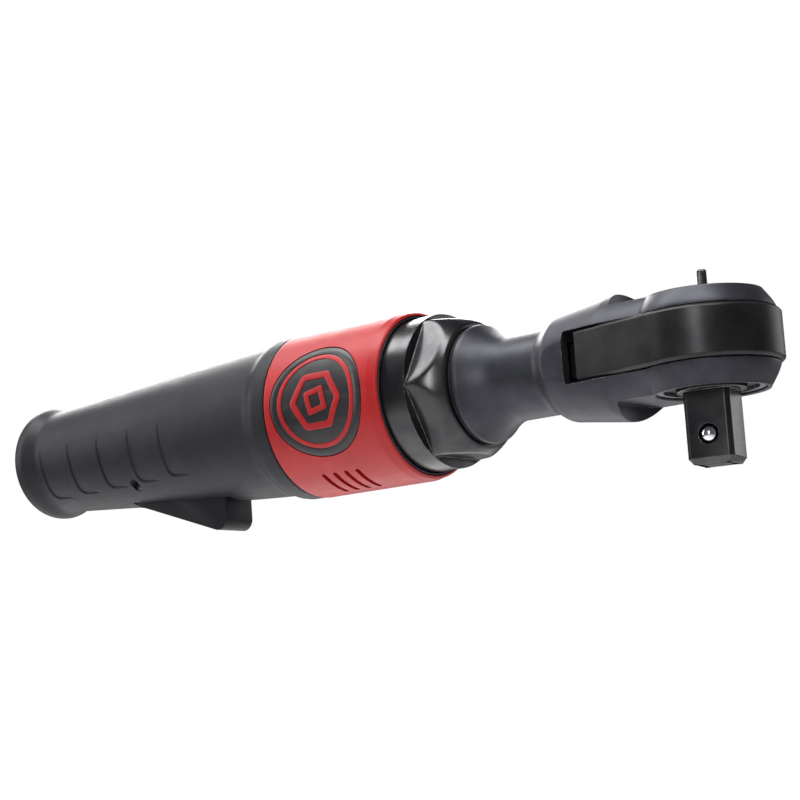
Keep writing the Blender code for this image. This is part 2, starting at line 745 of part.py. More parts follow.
def make_ratchet_housing():
    """The steel head: threaded spigot, cone, neck and forked block with two ears."""
    cone = [
        (x_cone_back + CONE_LENGTH * t, NECK_RADIUS + (cone_radius - NECK_RADIUS) * (1 - t) ** 1.7)
        for t in (0, 0.12, 0.26, 0.42, 0.6, 0.8, 1)
    ]
    flare = [
        (
            x_neck + FLARE_LENGTH * t,
            NECK_RADIUS + (FLARE_RADIUS - NECK_RADIUS) * (3 * t * t - 2 * t**3),
        )
        for t in (0.25, 0.5, 0.75, 1)
    ]
    x_shoulder = -SHOULDER_BACK
    profile = [(x_head_back, 0), (x_head_back, head_thread), (x_cone_back - CONE_LIP, head_thread)]
    profile += [(x_cone_back - CONE_LIP, cone_radius)] + cone + [(x_neck, NECK_RADIUS)] + flare
    profile += [(x_shoulder, HEAD_BACK_RADIUS), (-BODY_FRONT, HEAD_BACK_RADIUS), (-BODY_FRONT, 0)]
    housing = piece("ratchet_housing", turned(profile), "dark_steel")
    ends = (x_neck - 1, -BODY_FRONT + 1)
    for side in (-1, 1):
        line = [(x, side * cheek_half(x)) for x in ends]
        outside = [(x, side * 2 * CHEEK_HALF) for x in ends[::-1]]
        cut(housing, f"cheek_{side}", prism(line + outside, -40, 40))
    heights = (0, 0.3, 0.6, 0.85, 1)
    below = [(slot_bottom - LOWER_EAR * t, HEAD_RADIUS - EAR_TAPER * t**1.3) for t in heights]
    above = [(slot_top + UPPER_EAR * t, HEAD_RADIUS - EAR_TAPER * t**1.3) for t in heights]
    end_radius = HEAD_RADIUS - EAR_TAPER
    round_end = [(ear_bottom - 0.5, 0), (ear_bottom - 0.5, end_radius)] + below[::-1]
    round_end += above + [(ear_top + 0.5, end_radius), (ear_top + 0.5, 0)]
    join(housing, "round_end", spun(turned(round_end, 64), -pi / 2, "Y"))
    spotface = HEAD_RADIUS + SPOTFACE
    cut(housing, "top_spotface", rod((0, 0, ear_top), (0, 0, ear_top + 20), spotface, LARGE))
    cut(housing, "under_spotface", rod((0, 0, ear_bottom - 20), (0, 0, ear_bottom), spotface, LARGE))
    window = block((-WINDOW_BACK, -40, slot_bottom), (40, 40, slot_top))
    cut(housing, "yoke_slot", window)
    tail_room = YOKE_TAIL_HEIGHT / 2 + 2 * GAP
    cut(
        housing,
        "tail_room",
        block((x_tail_room, -cavity_half, -tail_room), (-WINDOW_BACK + 1, cavity_half, tail_room)),
    )
    cavity = [
        (x_head_back - 1, 0),
        (x_head_back - 1, head_thread - 2.0),
        (x_head_back + CARRIER_LENGTH + 4.4, head_thread - 2.0),
        (x_head_back + CARRIER_LENGTH + 4.4, neck_bore),
        (x_tail_room + 1, neck_bore),
        (x_tail_room + 1, 0),
    ]
    cut(housing, "crank_bore", turned(cavity[::-1], MEDIUM))
    cut(
        housing,
        "lower_ear_bore",
        rod((0, 0, ear_bottom - 1), (0, 0, slot_bottom + 1), lower_ear_bore, LARGE),
    )
    groove_radius = lower_ear_bore + RING_GROOVE
    low, high = retaining_ring_span()
    cut(housing, "ring_groove", rod((0, 0, low - 0.15), (0, 0, high + 0.15), groove_radius, LARGE))
    cut(
        housing,
        "upper_ear_bore",
        rod((0, 0, slot_top - 1), (0, 0, ear_top + 1), upper_ear_bore, LARGE),
    )


def retaining_ring_span():
    """Bottom and top of the ring that holds the square drive in the lower ear."""
    low = ear_bottom + 0.7
    return low, low + RING_THICKNESS


def make_head_rings():
    seal = ring(x_seal_front - SEAL_WIDTH, x_seal_front, head_thread + GAP, cone_radius - 0.3)
    piece("head_seal", seal, "seal_rubber")
    bushing = spun(
        ring(
            retaining_ring_span()[1] + 0.15 + GAP,
            slot_bottom - 0.1,
            drum_radius + RUN,
            anvil_bushing_radius,
        ),
        -pi / 2,
        "Y",
    )
    piece("lower_anvil_bushing", bushing, "bronze")
    upper = spun(
        ring(slot_top + 0.1, knob_seat, top_journal + RUN, top_bushing_radius),
        -pi / 2,
        "Y",
    )
    piece("upper_anvil_bushing", upper, "bronze")
    washer = spun(ring(yoke_top - 0.75, yoke_top - 0.1, top_journal + GAP, drum_radius), -pi / 2, "Y")
    piece("thrust_washer", washer, "spring_steel")


def make_retaining_ring():
    """An internal circlip: an open ring with a lug, holed for pliers, at each end."""
    low, high = retaining_ring_span()
    outer = lower_ear_bore + RING_GROOVE - GAP
    inner = outer - 2.2
    lug = inner - 1.6
    opening, lug_end = radians(7), radians(18)
    half = (
        arc(outer, pi, opening, SMALL)
        + [(lug * cos(opening), lug * sin(opening)), (lug * cos(lug_end), lug * sin(lug_end))]
        + arc(inner, lug_end, pi, SMALL)
    )
    lower = [(a, -b) for a, b in reversed(half)]
    outline = half[:-1] + lower[:-1]
    body = prism(outline, low, high)
    made = piece("drive_retaining_ring", body, "spring_steel", turn=(0, 0, RING_TURN))
    middle = (opening + lug_end) / 2
    reach = (lug + inner) / 2
    for side in (-1, 1):
        x, y = reach * cos(middle), side * reach * sin(middle)
        cut(made, f"plier_hole_{side}", rod((x, y, low - 1), (x, y, high + 1), 0.7, 12))


def make_ratchet_yoke():
    """The rocking arm: a finely toothed ring with a forked tail round the drive bushing."""
    x_step = -WINDOW_BACK + YOKE_STEP
    half_back = FLARE_RADIUS - 0.6
    low, high = yoke_bottom, yoke_top

    def outline(inset):
        return head_outline(yoke_radius, x_step, half_back, inset)

    body = chamfered_plate(outline, low, high, YOKE_CHAMFER, YOKE_CHAMFER)
    yoke = piece("ratchet_yoke", body, "dark_steel")
    tail_half = YOKE_TAIL_HEIGHT / 2
    x_tip = -CRANK_ARM - BUSH_LENGTH / 2 - 0.8
    tail = block((x_tip, -tine_half, -tail_half), (x_step + 4, tine_half, tail_half))
    join(yoke, "tail", tail)
    x_fork = -CRANK_ARM + BUSH_LENGTH / 2 + 1.6
    fork = block((x_tip - 1, -fork_half, -tail_half - 1), (x_fork, fork_half, tail_half + 1))
    cut(yoke, "fork", fork)
    teeth = []
    for i in range(RATCHET_TEETH):
        angle = 2 * pi * i / RATCHET_TEETH
        step = pi / RATCHET_TEETH
        teeth.append((tooth_tip * cos(angle), tooth_tip * sin(angle)))
        teeth.append((tooth_root * cos(angle + step), tooth_root * sin(angle + step)))
    cut(yoke, "teeth", prism(teeth, low - 1, high + 1))


def square(half, corner):
    """A square outline with cut corners."""
    edge = half - corner
    points = [(half, -edge), (half, edge), (edge, half), (-edge, half)]
    return points + [(-half, edge), (-half, -edge), (-edge, -half), (edge, -half)]


def make_ratchet_anvil():
    """The drive: drum with a pawl pocket, journals, and the square with its detent ball hole."""
    drum_top = yoke_top - 0.75 - RUN
    groove_top = retaining_ring_span()[1] + 0.15
    collar_bottom = ear_bottom + 0.2
    profile = [
        (collar_bottom, 0),
        (collar_bottom, drum_radius - 3.6),
        (groove_top, drum_radius - 3.6),
        (groove_top, drum_radius),
        (drum_top, drum_radius),
        (drum_top, top_journal),
        (knob_seat, top_journal),
        (knob_seat, 0),
    ]
    body = spun(turned(profile), -pi / 2, "Y")
    anvil = piece("ratchet_anvil", body, "black_steel", turn=(0, 0, DRIVE_TURN))
    half = DRIVE_SQUARE / 2
    tip = half - DRIVE_CHAMFER
    rings = [
        [(a, b, drive_end) for a, b in square(tip, DRIVE_CORNER)],
        [(a, b, drive_end + DRIVE_CHAMFER) for a, b in square(half, DRIVE_CORNER)],
        [(a, b, collar_bottom + 1) for a, b in square(half, DRIVE_CORNER)],
    ]
    join(anvil, "square", lofted(rings))
    hole = rod((0, 0.4, ball_height), (0, -half - 1, ball_height), BALL_RADIUS + GAP, SMALL)
    cut(anvil, "ball_hole", hole)
    low, high = pawl_span()
    pocket = block((0, -drum_radius * 0.6, low - GAP), (20, drum_radius * 0.6, high + GAP))
    cut(anvil, "pawl_pocket", pocket)
    pin = pawl_pin_place()
    pin_hole = rod((*pin, low - 1.6), (*pin, high + 1.2), PAWL_PIN_RADIUS + GAP, SMALL)
    cut(anvil, "pawl_pin_hole", pin_hole)
    cut(anvil, "stem_bore", rod((0, 0, low - GAP), (0, 0, ear_top + 5), STEM_RADIUS + GAP, MEDIUM))


def pawl_span():
    """Bottom and top of the pawl, in the middle of the yoke."""
    return YOKE_RISE - PAWL_HEIGHT / 2 - 0.4, YOKE_RISE + PAWL_HEIGHT / 2 - 0.4


def pawl_pin_place():
    return (drum_radius - 3.2, 0)


def on_anvil(x, y):
    """A place given in the anvil's own frame, turned into the tool frame."""
    return (x * cos(DRIVE_TURN) - y * sin(DRIVE_TURN), x * sin(DRIVE_TURN) + y * cos(DRIVE_TURN))


def make_detent():
    """The spring-loaded ball that holds a socket on the square."""
    half = DRIVE_SQUARE / 2
    centre = BALL_RADIUS - BALL_PROUD - half
    ball = bmesh.new()
    bmesh.ops.create_uvsphere(ball, u_segments=SMALL, v_segments=10, radius=BALL_RADIUS)
    place = (*on_anvil(0, centre), ball_height)
    piece("detent_ball", ball, "chrome", at=place, turn=(0, 0, DRIVE_TURN))
    room = -centre - BALL_RADIUS - BALL_PROUD + 0.4 - GAP
    coil(
        "detent_spring",
        room,
        BALL_RADIUS * 0.6,
        BALL_SPRING_WIRE,
        2,
        at=(*on_anvil(0, 0.4 - GAP), ball_height),
        turn=(pi / 2, 0, DRIVE_TURN),
    )


def make_pawl():
    """The two-ended pawl, rocked on its pin towards one end's teeth."""
    low, high = pawl_span()
    pin = pawl_pin_place()
    outer, inner = drum_radius - 0.55, STEM_RADIUS + 4.4
    shape = arc(outer, -PAWL_SPREAD, PAWL_SPREAD, 12) + arc(inner, PAWL_SPREAD, -PAWL_SPREAD, 8)
    outline = [(x - pin[0], y - pin[1]) for x, y in shape]
    made = piece(
        "pawl",
        prism(outline, low, high),
        "steel",
        at=(*on_anvil(*pin), 0),
        turn=(0, 0, DRIVE_TURN - PAWL_ROCK),
    )
    cut(made, "pin_hole", rod((0, 0, low - 1), (0, 0, high + 1), PAWL_PIN_RADIUS + RUN, SMALL))
    pin_body = rod((0, 0, low - 1.6 + GAP), (0, 0, high + 1.2 - GAP), PAWL_PIN_RADIUS, SMALL)
    piece("pawl_pin", pin_body, "steel", at=(*on_anvil(*pin), 0), turn=(0, 0, DRIVE_TURN))


def make_reverse_knob():
    """The reversing knob: a low disc with a thumb tab, and a stem that carries the plunger."""
    low, high = pawl_span()
    middle = (low + high) / 2
    bottom = knob_seat + GAP
    profile = [
        (low, 0),
        (low, STEM_RADIUS),
        (bottom, STEM_RADIUS),
        (bottom, KNOB_RADIUS),
        (bottom + KNOB_HEIGHT - 0.6, KNOB_RADIUS),
        (bottom + KNOB_HEIGHT, KNOB_RADIUS - 0.8),
        (bottom + KNOB_HEIGHT, 0),
    ]
    body = spun(turned(profile, MEDIUM), -pi / 2, "Y")
    knob = piece("reverse_knob", body, "black_steel", turn=(0, 0, DRIVE_TURN + KNOB_TURN))
    length, width, height = KNOB_TAB
    tab_base = bottom + KNOB_HEIGHT - 0.5
    tab = block((-length / 2, -width / 2, tab_base), (length / 2, width / 2, tab_base + 0.5 + height))
    join(knob, "thumb_tab", spun(tab, KNOB_TAB_TURN, "Z"))
    well = rod((-STEM_RADIUS + 1.1, 0, middle), (STEM_RADIUS + 1, 0, middle), PLUNGER_RADIUS + GAP, SMALL)
    cut(knob, "plunger_well", well)
    tip = STEM_RADIUS + 3.6
    turn = DRIVE_TURN + KNOB_TURN
    plunger = rod((0.9, 0, 0), (tip, 0, 0), PLUNGER_RADIUS, SMALL)
    piece("pawl_plunger", plunger, "steel", at=(0, 0, middle), turn=(0, 0, turn))
    back = -STEM_RADIUS + 1.1 + GAP
    coil(
        "pawl_spring",
        0.9 - PLUNGER_TRAVEL - GAP / 2 - back,
        PLUNGER_RADIUS * 0.62,
        0.2,
        3,
        at=(back * cos(turn), back * sin(turn), middle),
        turn=(0, pi / 2, turn),
    )


# ---------------------------------------------------------------- gears and crank


def involute(angle):
    return tan(angle) - angle


def gear_outline(teeth, clearance, tip, root):
    """An involute gear's outline, its first tooth centred on +X."""
    pitch_radius = module * teeth / 2
    base = pitch_radius * cos(PRESSURE_ANGLE)
    half_pitch = pi / (2 * teeth) - clearance / (2 * pitch_radius)

    def half_angle(radius):
        pressure = acos(min(1, base / max(radius, base)))
        return half_pitch + involute(PRESSURE_ANGLE) - involute(pressure)

    middle = (tip + max(root, base)) / 2
    flank = [root, middle, tip]
    points = []
    for i in range(teeth):
        centre = 2 * pi * i / teeth
        sides = [(r, centre - half_angle(r)) for r in flank]
        sides += [(r, centre + half_angle(r)) for r in reversed(flank)]
        points += [(r * cos(a), r * sin(a)) for r, a in sides]
    return points


def gear_teeth(teeth, clearance=BACKLASH):
    pitch_radius = module * teeth / 2
    return gear_outline(teeth, clearance, pitch_radius + 0.8 * module, pitch_radius - 1.15 * module)


def make_ring_gear():
    """The internal gear that the planets run round."""
    outer = MOTOR_BORE - GAP
    gear = piece("ring_gear", rod((x_ring_back, 0, 0), (x_ring_front, 0, 0), outer, LARGE), "steel")
    pitch_radius = module * ring_teeth / 2
    space = gear_outline(
        ring_teeth, -BACKLASH, pitch_radius + 1.2 * module, pitch_radius - 0.8 * module
    )
    cut(gear, "teeth", prism(space, x_ring_back - 1, x_ring_front + 1, "X"))


def make_planets():
    """Each planet gear turns on its own pin, which is fixed in the carrier."""
    low, high = x_gear_back, x_gear_front
    for i in range(PLANETS):
        angle = 2 * pi * i / PLANETS
        place = (0, planet_orbit * cos(angle), planet_orbit * sin(angle))
        turn = (angle, 0, 0)
        gear = piece(
            f"planet_gear_{i + 1}", prism(gear_teeth(PLANET_TEETH), low, high, "X"), "steel", place, turn
        )
        cut(gear, "bore", rod((low - 1, 0, 0), (high + 1, 0, 0), PLANET_PIN_RADIUS + RUN, SMALL))
        pin = rod((low, 0, 0), (x_carrier()[1] - 0.8, 0, 0), PLANET_PIN_RADIUS, SMALL)
        piece(f"planet_pin_{i + 1}", pin, "steel", place, turn)


def x_carrier():
    """Back and front of the carrier disc, ahead of the planet gears."""
    back = x_gear_front + GAP
    return back, back + CARRIER_LENGTH


def make_crankshaft():
    """The planet carrier, the shaft through the neck and the eccentric pin at its front."""
    back, front = x_carrier()
    x_face = x_tail_room + 0.5
    radius = planet_orbit + PLANET_PIN_RADIUS + 1.5
    profile = [
        (back, 0),
        (back, radius),
        (front, radius),
        (front, crank_radius + 1.2),
        (front + 1.2, crank_radius + 1.2),
        (front + 1.2, crank_radius),
        (x_face, crank_radius),
        (x_face, 0),
    ]
    crank = piece("crankshaft", turned(profile, MEDIUM), "steel")
    pin = rod(
        (x_face - 2, 0, CRANK_THROW),
        (-CRANK_ARM + BUSH_LENGTH / 2 + 0.4, 0, CRANK_THROW),
        CRANK_PIN_RADIUS,
        20,
    )
    join(crank, "crank_pin", pin)
    for i in range(PLANETS):
        angle = 2 * pi * i / PLANETS
        y, z = planet_orbit * cos(angle), planet_orbit * sin(angle)
        hole = rod((back - 1, y, z), (front + 1, y, z), PLANET_PIN_RADIUS + GAP, SMALL)
        cut(crank, f"pin_hole_{i + 1}", hole)
    half = BUSH_LENGTH / 2
    bush = ring(-CRANK_ARM - half, -CRANK_ARM + half, CRANK_PIN_RADIUS + RUN, bush_radius, 24, 0.3)
    piece("drive_bushing", moved(bush, z=CRANK_THROW), "bronze")
    bearing = ring(
        front + 1.2 + GAP, x_tail_room, crank_radius + RUN, crank_bearing_radius, MEDIUM
    )
    piece("crank_bearing", bearing, "bronze")


# ---------------------------------------------------------------- air motor


def make_cylinder():
    """The motor's liner, with its bore set off centre and exhaust slots underneath."""
    outer = MOTOR_BORE - GAP
    low, high = x_cylinder_back, x_cylinder_front
    liner = piece("cylinder", rod((low, 0, 0), (high, 0, 0), outer, LARGE), "steel")
    bore = ROTOR_RADIUS + BORE_OFFSET + GAP
    cut(liner, "bore", rod((low - 1, 0, BORE_OFFSET), (high + 1, 0, BORE_OFFSET), bore, LARGE))
    middle = (low + high) / 2
    for i in (-1, 0, 1):
        slot = block((middle + 7 * i - 1.5, -6, -30), (middle + 7 * i + 1.5, 6, -8))
        cut(liner, f"exhaust_slot_{i + 2}", slot)
    length = PLATE_LENGTH / 2
    reach = MOTOR_BORE - GAP - 1.5
    dowel = rod((low - length + GAP, 0, -reach), (low + length, 0, -reach), 0.6, 12)
    piece("cylinder_dowel", dowel, "steel")
    hole = rod((low - 1, 0, -reach), (low + length + GAP, 0, -reach), 0.9, 12)
    cut(liner, "dowel_hole", hole)


def make_end_plates():
    """The plates that close the cylinder, and the ball bearings pressed into them."""
    outer = MOTOR_BORE - GAP
    shaft_hole = JOURNAL_RADIUS + 2 * GAP
    for name, face, away in (("front", x_front_plate, -1), ("rear", x_rear_plate - PLATE_LENGTH, 1)):
        inner_face = face + away * PLATE_LENGTH
        pocket = face + away * (BEARING_WIDTH + 2 * GAP)
        profile = [
            (face, bearing_radius + GAP),
            (pocket, bearing_radius + GAP),
            (pocket, shaft_hole),
            (inner_face, shaft_hole),
            (inner_face, outer),
            (face, outer),
        ]
        plate = piece(f"{name}_end_plate", turned(profile), "steel")
        if name == "rear":
            reach = MOTOR_BORE - GAP - 1.5
            deep = inner_face - PLATE_LENGTH / 2
            cut(plate, "dowel_hole", rod((deep, 0, -reach), (inner_face + 1, 0, -reach), 0.9, 12))
        near, far = sorted((face + away * GAP, face + away * (GAP + BEARING_WIDTH)))
        bearing = ring(near, far, JOURNAL_RADIUS + RUN, bearing_radius, MEDIUM, 0.4)
        piece(f"{name}_rotor_bearing", bearing, "chrome")


def make_rotor():
    """The slotted rotor, its journals and the pinion that drives the planets."""
    low, high = x_cylinder_back + GAP, x_cylinder_front - GAP
    x_rear = x_bore_floor + GAP
    x_journal_front = x_front_plate - GAP / 3
    profile = [
        (x_rear, 0),
        (x_rear, JOURNAL_RADIUS),
        (low, JOURNAL_RADIUS),
        (low, ROTOR_RADIUS),
        (high, ROTOR_RADIUS),
        (high, JOURNAL_RADIUS),
        (x_journal_front, JOURNAL_RADIUS),
        (x_journal_front, 0),
    ]
    rotor = piece("rotor", turned(profile), "steel")
    pinion = prism(gear_teeth(SUN_TEETH), x_journal_front - GAP / 3, x_gear_front, "X")
    join(rotor, "pinion", pinion)
    root = ROTOR_RADIUS - VANE_DEPTH - VANE_TRAVEL - 2 * GAP
    half = VANE_THICKNESS / 2
    for i in range(VANES):
        angle = 2 * pi * i / VANES
        slot = block((low - 1, -half - GAP, root), (high + 1, half + GAP, ROTOR_RADIUS + 2))
        cut(rotor, f"vane_slot_{i + 1}", spun(slot, angle))
        vane = block(
            (low, -half, ROTOR_RADIUS - VANE_DEPTH - GAP), (high, half, ROTOR_RADIUS - GAP / 2)
        )
        piece(f"vane_{i + 1}", vane, "phenolic", turn=(angle, 0, 0))


# ---------------------------------------------------------------- throttle and inlet


def lever_outline():
    """The throttle lever's side outline, measured from its pin."""
    corner = 3.5
    slope = atan2(LEVER_DROP - 6.4, LEVER_LENGTH - 2 + 4)
    nose = (LEVER_LENGTH - corner, -LEVER_DROP + corner + 0.6)
    points = [(-4.2, -6.4)]
    points += arc(corner, -pi / 2 - slope, 0, 6, nose)
    points += [(LEVER_LENGTH, -3.2), (LEVER_LENGTH - 1, -2.2), (VALVE_ARM + 4, 1.2), (VALVE_ARM, 2.2)]
    points += arc(3.6, radians(60), radians(180), 6)
    points += [(-LEVER_HEEL, -1.5), (-LEVER_HEEL, -4.6), (-LEVER_HEEL + 1.2, -6.0)]
    return points


def make_throttle():
    """The lever under the grip and the pin it turns on."""
    half = LEVER_WIDTH / 2
    place = (x_lever_pin, 0, -LEVER_PIN_DROP)
    lever = piece("throttle_lever", prism(lever_outline(), -half, half, "Y"), "rubber", at=place)
    cut(lever, "pin_hole", rod((0, -20, 0), (0, 20, 0), LEVER_PIN_RADIUS + RUN, SMALL))
    reach = sqrt(grip_radius(x_lever_pin) ** 2 - LEVER_PIN_DROP**2) - 1.6
    piece("lever_pin", rod((0, -reach, 0), (0, reach, 0), LEVER_PIN_RADIUS, SMALL), "steel", at=place)


def make_valve():
    """The throttle valve: stem with its head, guide bushing, spring and closing plug."""
    profile = [
        (stem_foot, 0),
        (stem_foot, STEM_PIN_RADIUS - 0.4),
        (stem_foot + 0.4, STEM_PIN_RADIUS),
        (VALVE_SEAT + GAP, STEM_PIN_RADIUS),
        (VALVE_SEAT + GAP, VALVE_HEAD_RADIUS),
        (head_top, VALVE_HEAD_RADIUS),
        (head_top, 0),
    ]
    stem = spun(turned(profile, MEDIUM), -pi / 2, "Y")
    piece("valve_stem", stem, "brass", at=(x_valve, 0, 0))
    guide = spun(
        ring(slot_roof + 0.1, slot_roof + 2.6, STEM_PIN_RADIUS + RUN, 2 * STEM_PIN_RADIUS - GAP, MEDIUM),
        -pi / 2,
        "Y",
    )
    piece("valve_bushing", guide, "bronze", at=(x_valve, 0, 0))
    coil(
        "valve_spring",
        VALVE_SPRING_HEIGHT,
        VALVE_HEAD_RADIUS * 0.68,
        VALVE_SPRING_WIRE,
        5,
        at=(x_valve, 0, head_top + GAP),
    )
    plug = rod((0, 0, plug_bottom), (0, 0, plug_bottom + PLUG_HEIGHT), valve_bore - GAP, MEDIUM)
    made = piece("valve_plug", plug, "brass", at=(x_valve, 0, 0))
    top = plug_bottom + PLUG_HEIGHT
    cut(made, "driver_slot", block((-20, -0.6, top - 1), (20, 0.6, top + 1)))


def make_inlet():
    """The air inlet: a hexagon bushing with a plain bore, and the screen behind it."""
    x_head = x_case_back - GAP - INLET_HEX_LENGTH
    x_end = x_case_back + INLET_LENGTH
    body = rod((x_head + 1, 0, 0), (x_end, 0, 0), INLET_THREAD, MEDIUM)
    bushing = piece("air_inlet_bushing", body, "steel")
    hexagon = prism(polygon(INLET_HEX / 2, 6, pi / 6), x_head, x_head + INLET_HEX_LENGTH, "X")
    join(bushing, "hexagon", hexagon)
    cut(bushing, "bore", rod((x_head - 1, 0, 0), (x_end + 1, 0, 0), INLET_BORE, MEDIUM))
    x_low = x_end + GAP
    screen = rod((x_low, 0, 0), (x_low + SCREEN_THICKNESS, 0, 0), INLET_THREAD, MEDIUM)
    made = piece("inlet_screen", screen, "brass")
    for row in range(-2, 3):
        for column in range(-2, 3):
            if hypot(row, column) < 2.4:
                y, z = row * 2.6, column * 2.6
                mesh_hole = rod((x_low - 1, y, z), (x_low + SCREEN_THICKNESS + 1, y, z), 0.8, 6)
                cut(made, f"hole_{row + 3}{column + 3}", mesh_hole)


clear_scene()
tool_frame = bpy.data.objects.new("tool_frame", None)
tool_frame.location = Vector((0, 0, AXIS_HEIGHT)) * METRE
bpy.context.scene.collection.objects.link(tool_frame)

make_motor_housing()
make_grip_cover()
make_motor_sleeve()
make_sleeve_trim()
make_exhaust_felt()
make_coupling_nut()
make_ratchet_housing()
make_head_rings()
make_retaining_ring()
make_ratchet_yoke()
make_ratchet_anvil()
make_detent()
make_pawl()
make_reverse_knob()
make_ring_gear()
make_planets()
make_crankshaft()
make_cylinder()
make_end_plates()
make_rotor()
make_throttle()
make_valve()
make_inlet()
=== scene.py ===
"""The looks of the air ratchet: high-resolution pieces, materials, light and camera.

Shapes are written in millimetres in the tool frame, where X is the tool axis and the square
drive's axis is at x = 0. `solid` lifts them by LIFT and scales them to the row frame's metres.
"""

import json
from math import acos, atan2, cos, hypot, pi, radians, sin, sqrt, tan

import bmesh
import bpy
import numpy as np
from mathutils import Matrix, Vector


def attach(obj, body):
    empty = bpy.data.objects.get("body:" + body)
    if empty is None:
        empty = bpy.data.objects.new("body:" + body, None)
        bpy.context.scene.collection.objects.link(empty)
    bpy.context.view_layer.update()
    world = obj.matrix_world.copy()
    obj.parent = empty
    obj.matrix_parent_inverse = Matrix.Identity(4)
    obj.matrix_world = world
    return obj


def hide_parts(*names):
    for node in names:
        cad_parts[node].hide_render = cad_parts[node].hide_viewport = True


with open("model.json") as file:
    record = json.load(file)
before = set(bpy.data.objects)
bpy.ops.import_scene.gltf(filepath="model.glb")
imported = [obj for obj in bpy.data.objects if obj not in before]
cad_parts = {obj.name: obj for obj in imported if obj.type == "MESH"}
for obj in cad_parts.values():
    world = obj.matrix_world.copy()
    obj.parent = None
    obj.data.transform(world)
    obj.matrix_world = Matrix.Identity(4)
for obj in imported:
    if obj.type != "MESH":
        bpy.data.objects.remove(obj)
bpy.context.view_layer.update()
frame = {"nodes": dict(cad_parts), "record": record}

MM = 0.001
LIFT = 32.35  # the tool axis over the square drive's end face

# ---------------------------------------------------------------- outlines


def filleted(points, steps=5, closed=True):
    """An outline of (a, b, radius) corners, each rounded to its radius."""
    made = []
    count = len(points)
    for i, (a, b, radius) in enumerate(points):
        here = np.array((a, b), float)
        if radius <= 0 or (not closed and i in (0, count - 1)):
            made.append(here)
            continue
        back = np.array(points[i - 1][:2], float) - here
        ahead = np.array(points[(i + 1) % count][:2], float) - here
        room = 0.48 * min(np.linalg.norm(back), np.linalg.norm(ahead))
        back /= np.linalg.norm(back)
        ahead /= np.linalg.norm(ahead)
        angle = acos(max(-1.0, min(1.0, float(back @ ahead))))
        if angle > pi - 0.02:
            made.append(here)
            continue
        reach = min(radius / tan(angle / 2), room)
        bisector = (back + ahead) / np.linalg.norm(back + ahead)
        centre = here + bisector * reach / cos(angle / 2)
        first, last = here + back * reach - centre, here + ahead * reach - centre
        start = atan2(first[1], first[0])
        turn = (atan2(last[1], last[0]) - start + pi) % (2 * pi) - pi
        size = np.linalg.norm(first)
        for k in range(steps + 1):
            at = start + turn * k / steps
            made.append(centre + size * np.array((cos(at), sin(at))))
    return np.array(made)


def dense(points, step, closed=True):
    """The outline with its long sides cut into pieces no longer than step."""
    made = []
    count = len(points)
    for i in range(count if closed else count - 1):
        a, b = points[i], points[(i + 1) % count]
        pieces = max(1, int(np.ceil(np.linalg.norm(b - a) / step)))
        made += [a + (b - a) * k / pieces for k in range(pieces)]
    if not closed:
        made.append(points[-1])
    return np.array(made)


def arc(radius, start, end, steps, centre=(0, 0)):
    """Points of an arc about the centre, with both ends."""
    turns = [start + (end - start) * i / steps for i in range(steps + 1)]
    return [(centre[0] + radius * cos(a), centre[1] + radius * sin(a)) for a in turns]


def between(start, end, steps):
    """Points that divide a straight line, from its start and without its end."""
    return [tuple(a + (b - a) * k / steps for a, b in zip(start, end)) for k in range(steps)]


def smooth(t):
    """Rises from 0 to 1 with level ends as t does."""
    t = np.clip(t, 0, 1)
    return t * t * (3 - 2 * t)


# ---------------------------------------------------------------- meshes


def grid_faces(rows, columns, wrap_rows=True, wrap_columns=True):
    """Quads of a grid of points, numbered row by row."""
    i = np.arange(rows if wrap_rows else rows - 1)[:, None]
    j = np.arange(columns if wrap_columns else columns - 1)[None, :]
    row, next_row = i * columns, (i + 1) % rows * columns
    next_j = (j + 1) % columns
    corners = np.broadcast_arrays(row + j, row + next_j, next_row + next_j, next_row + j)
    quads = np.stack(corners, -1)
    return quads.reshape(-1, 4).tolist()


def capped(rows, columns):
    """Faces of a stack of loops closed by a flat face at each end."""
    faces = grid_faces(rows, columns, wrap_rows=False)
    faces.append(list(range(columns))[::-1])
    faces.append(list(range((rows - 1) * columns, rows * columns)))
    return faces


def solid(name, points, faces):
    """A mesh object from tool-frame millimetres."""
    points = (np.asarray(points, float).reshape(-1, 3) + (0, 0, LIFT)) * MM
    mesh = bpy.data.meshes.new(name)
    mesh.from_pydata(points.tolist(), [], faces)
    bm = bmesh.new()
    bm.from_mesh(mesh)
    bmesh.ops.recalc_face_normals(bm, faces=bm.faces)
    bm.to_mesh(mesh)
    bm.free()
    made = bpy.data.objects.new(name, mesh)
    bpy.context.scene.collection.objects.link(made)
    return made


def about_x(x, radius, angle):
    """Points round the tool axis. Angle 0 faces -Y and a quarter turn is up."""
    return np.stack((x, -radius * np.cos(angle), radius * np.sin(angle)), -1)


def lathe_x(name, profile, columns=256, shape=None, solid_core=False):
    """Turns an (x, radius) outline about the tool axis. columns is a count or the angles."""
    angles = columns
    if isinstance(columns, int):
        angles = np.linspace(0, 2 * pi, columns, endpoint=False)
    x, angle = np.meshgrid(profile[:, 0], angles, indexing="ij")
    radius = np.repeat(profile[:, 1][:, None], len(angles), axis=1)
    if shape is not None:
        radius = shape(x, radius, angle)
    faces = capped(*x.shape) if solid_core else grid_faces(*x.shape)
    return solid(name, about_x(x, radius, angle), faces)


def stack_y(name, rows, columns, x=0.0, z=0.0):
    """A round solid along Y from its (y, radius) rows, with its axis at x and z."""
    turn = np.linspace(0, 2 * pi, columns, endpoint=False)
    loops = [
        np.stack((x + radius * np.cos(turn), np.full_like(turn, y), z + radius * np.sin(turn)), -1)
        for y, radius in rows
    ]
    return solid(name, loops, capped(len(rows), columns))


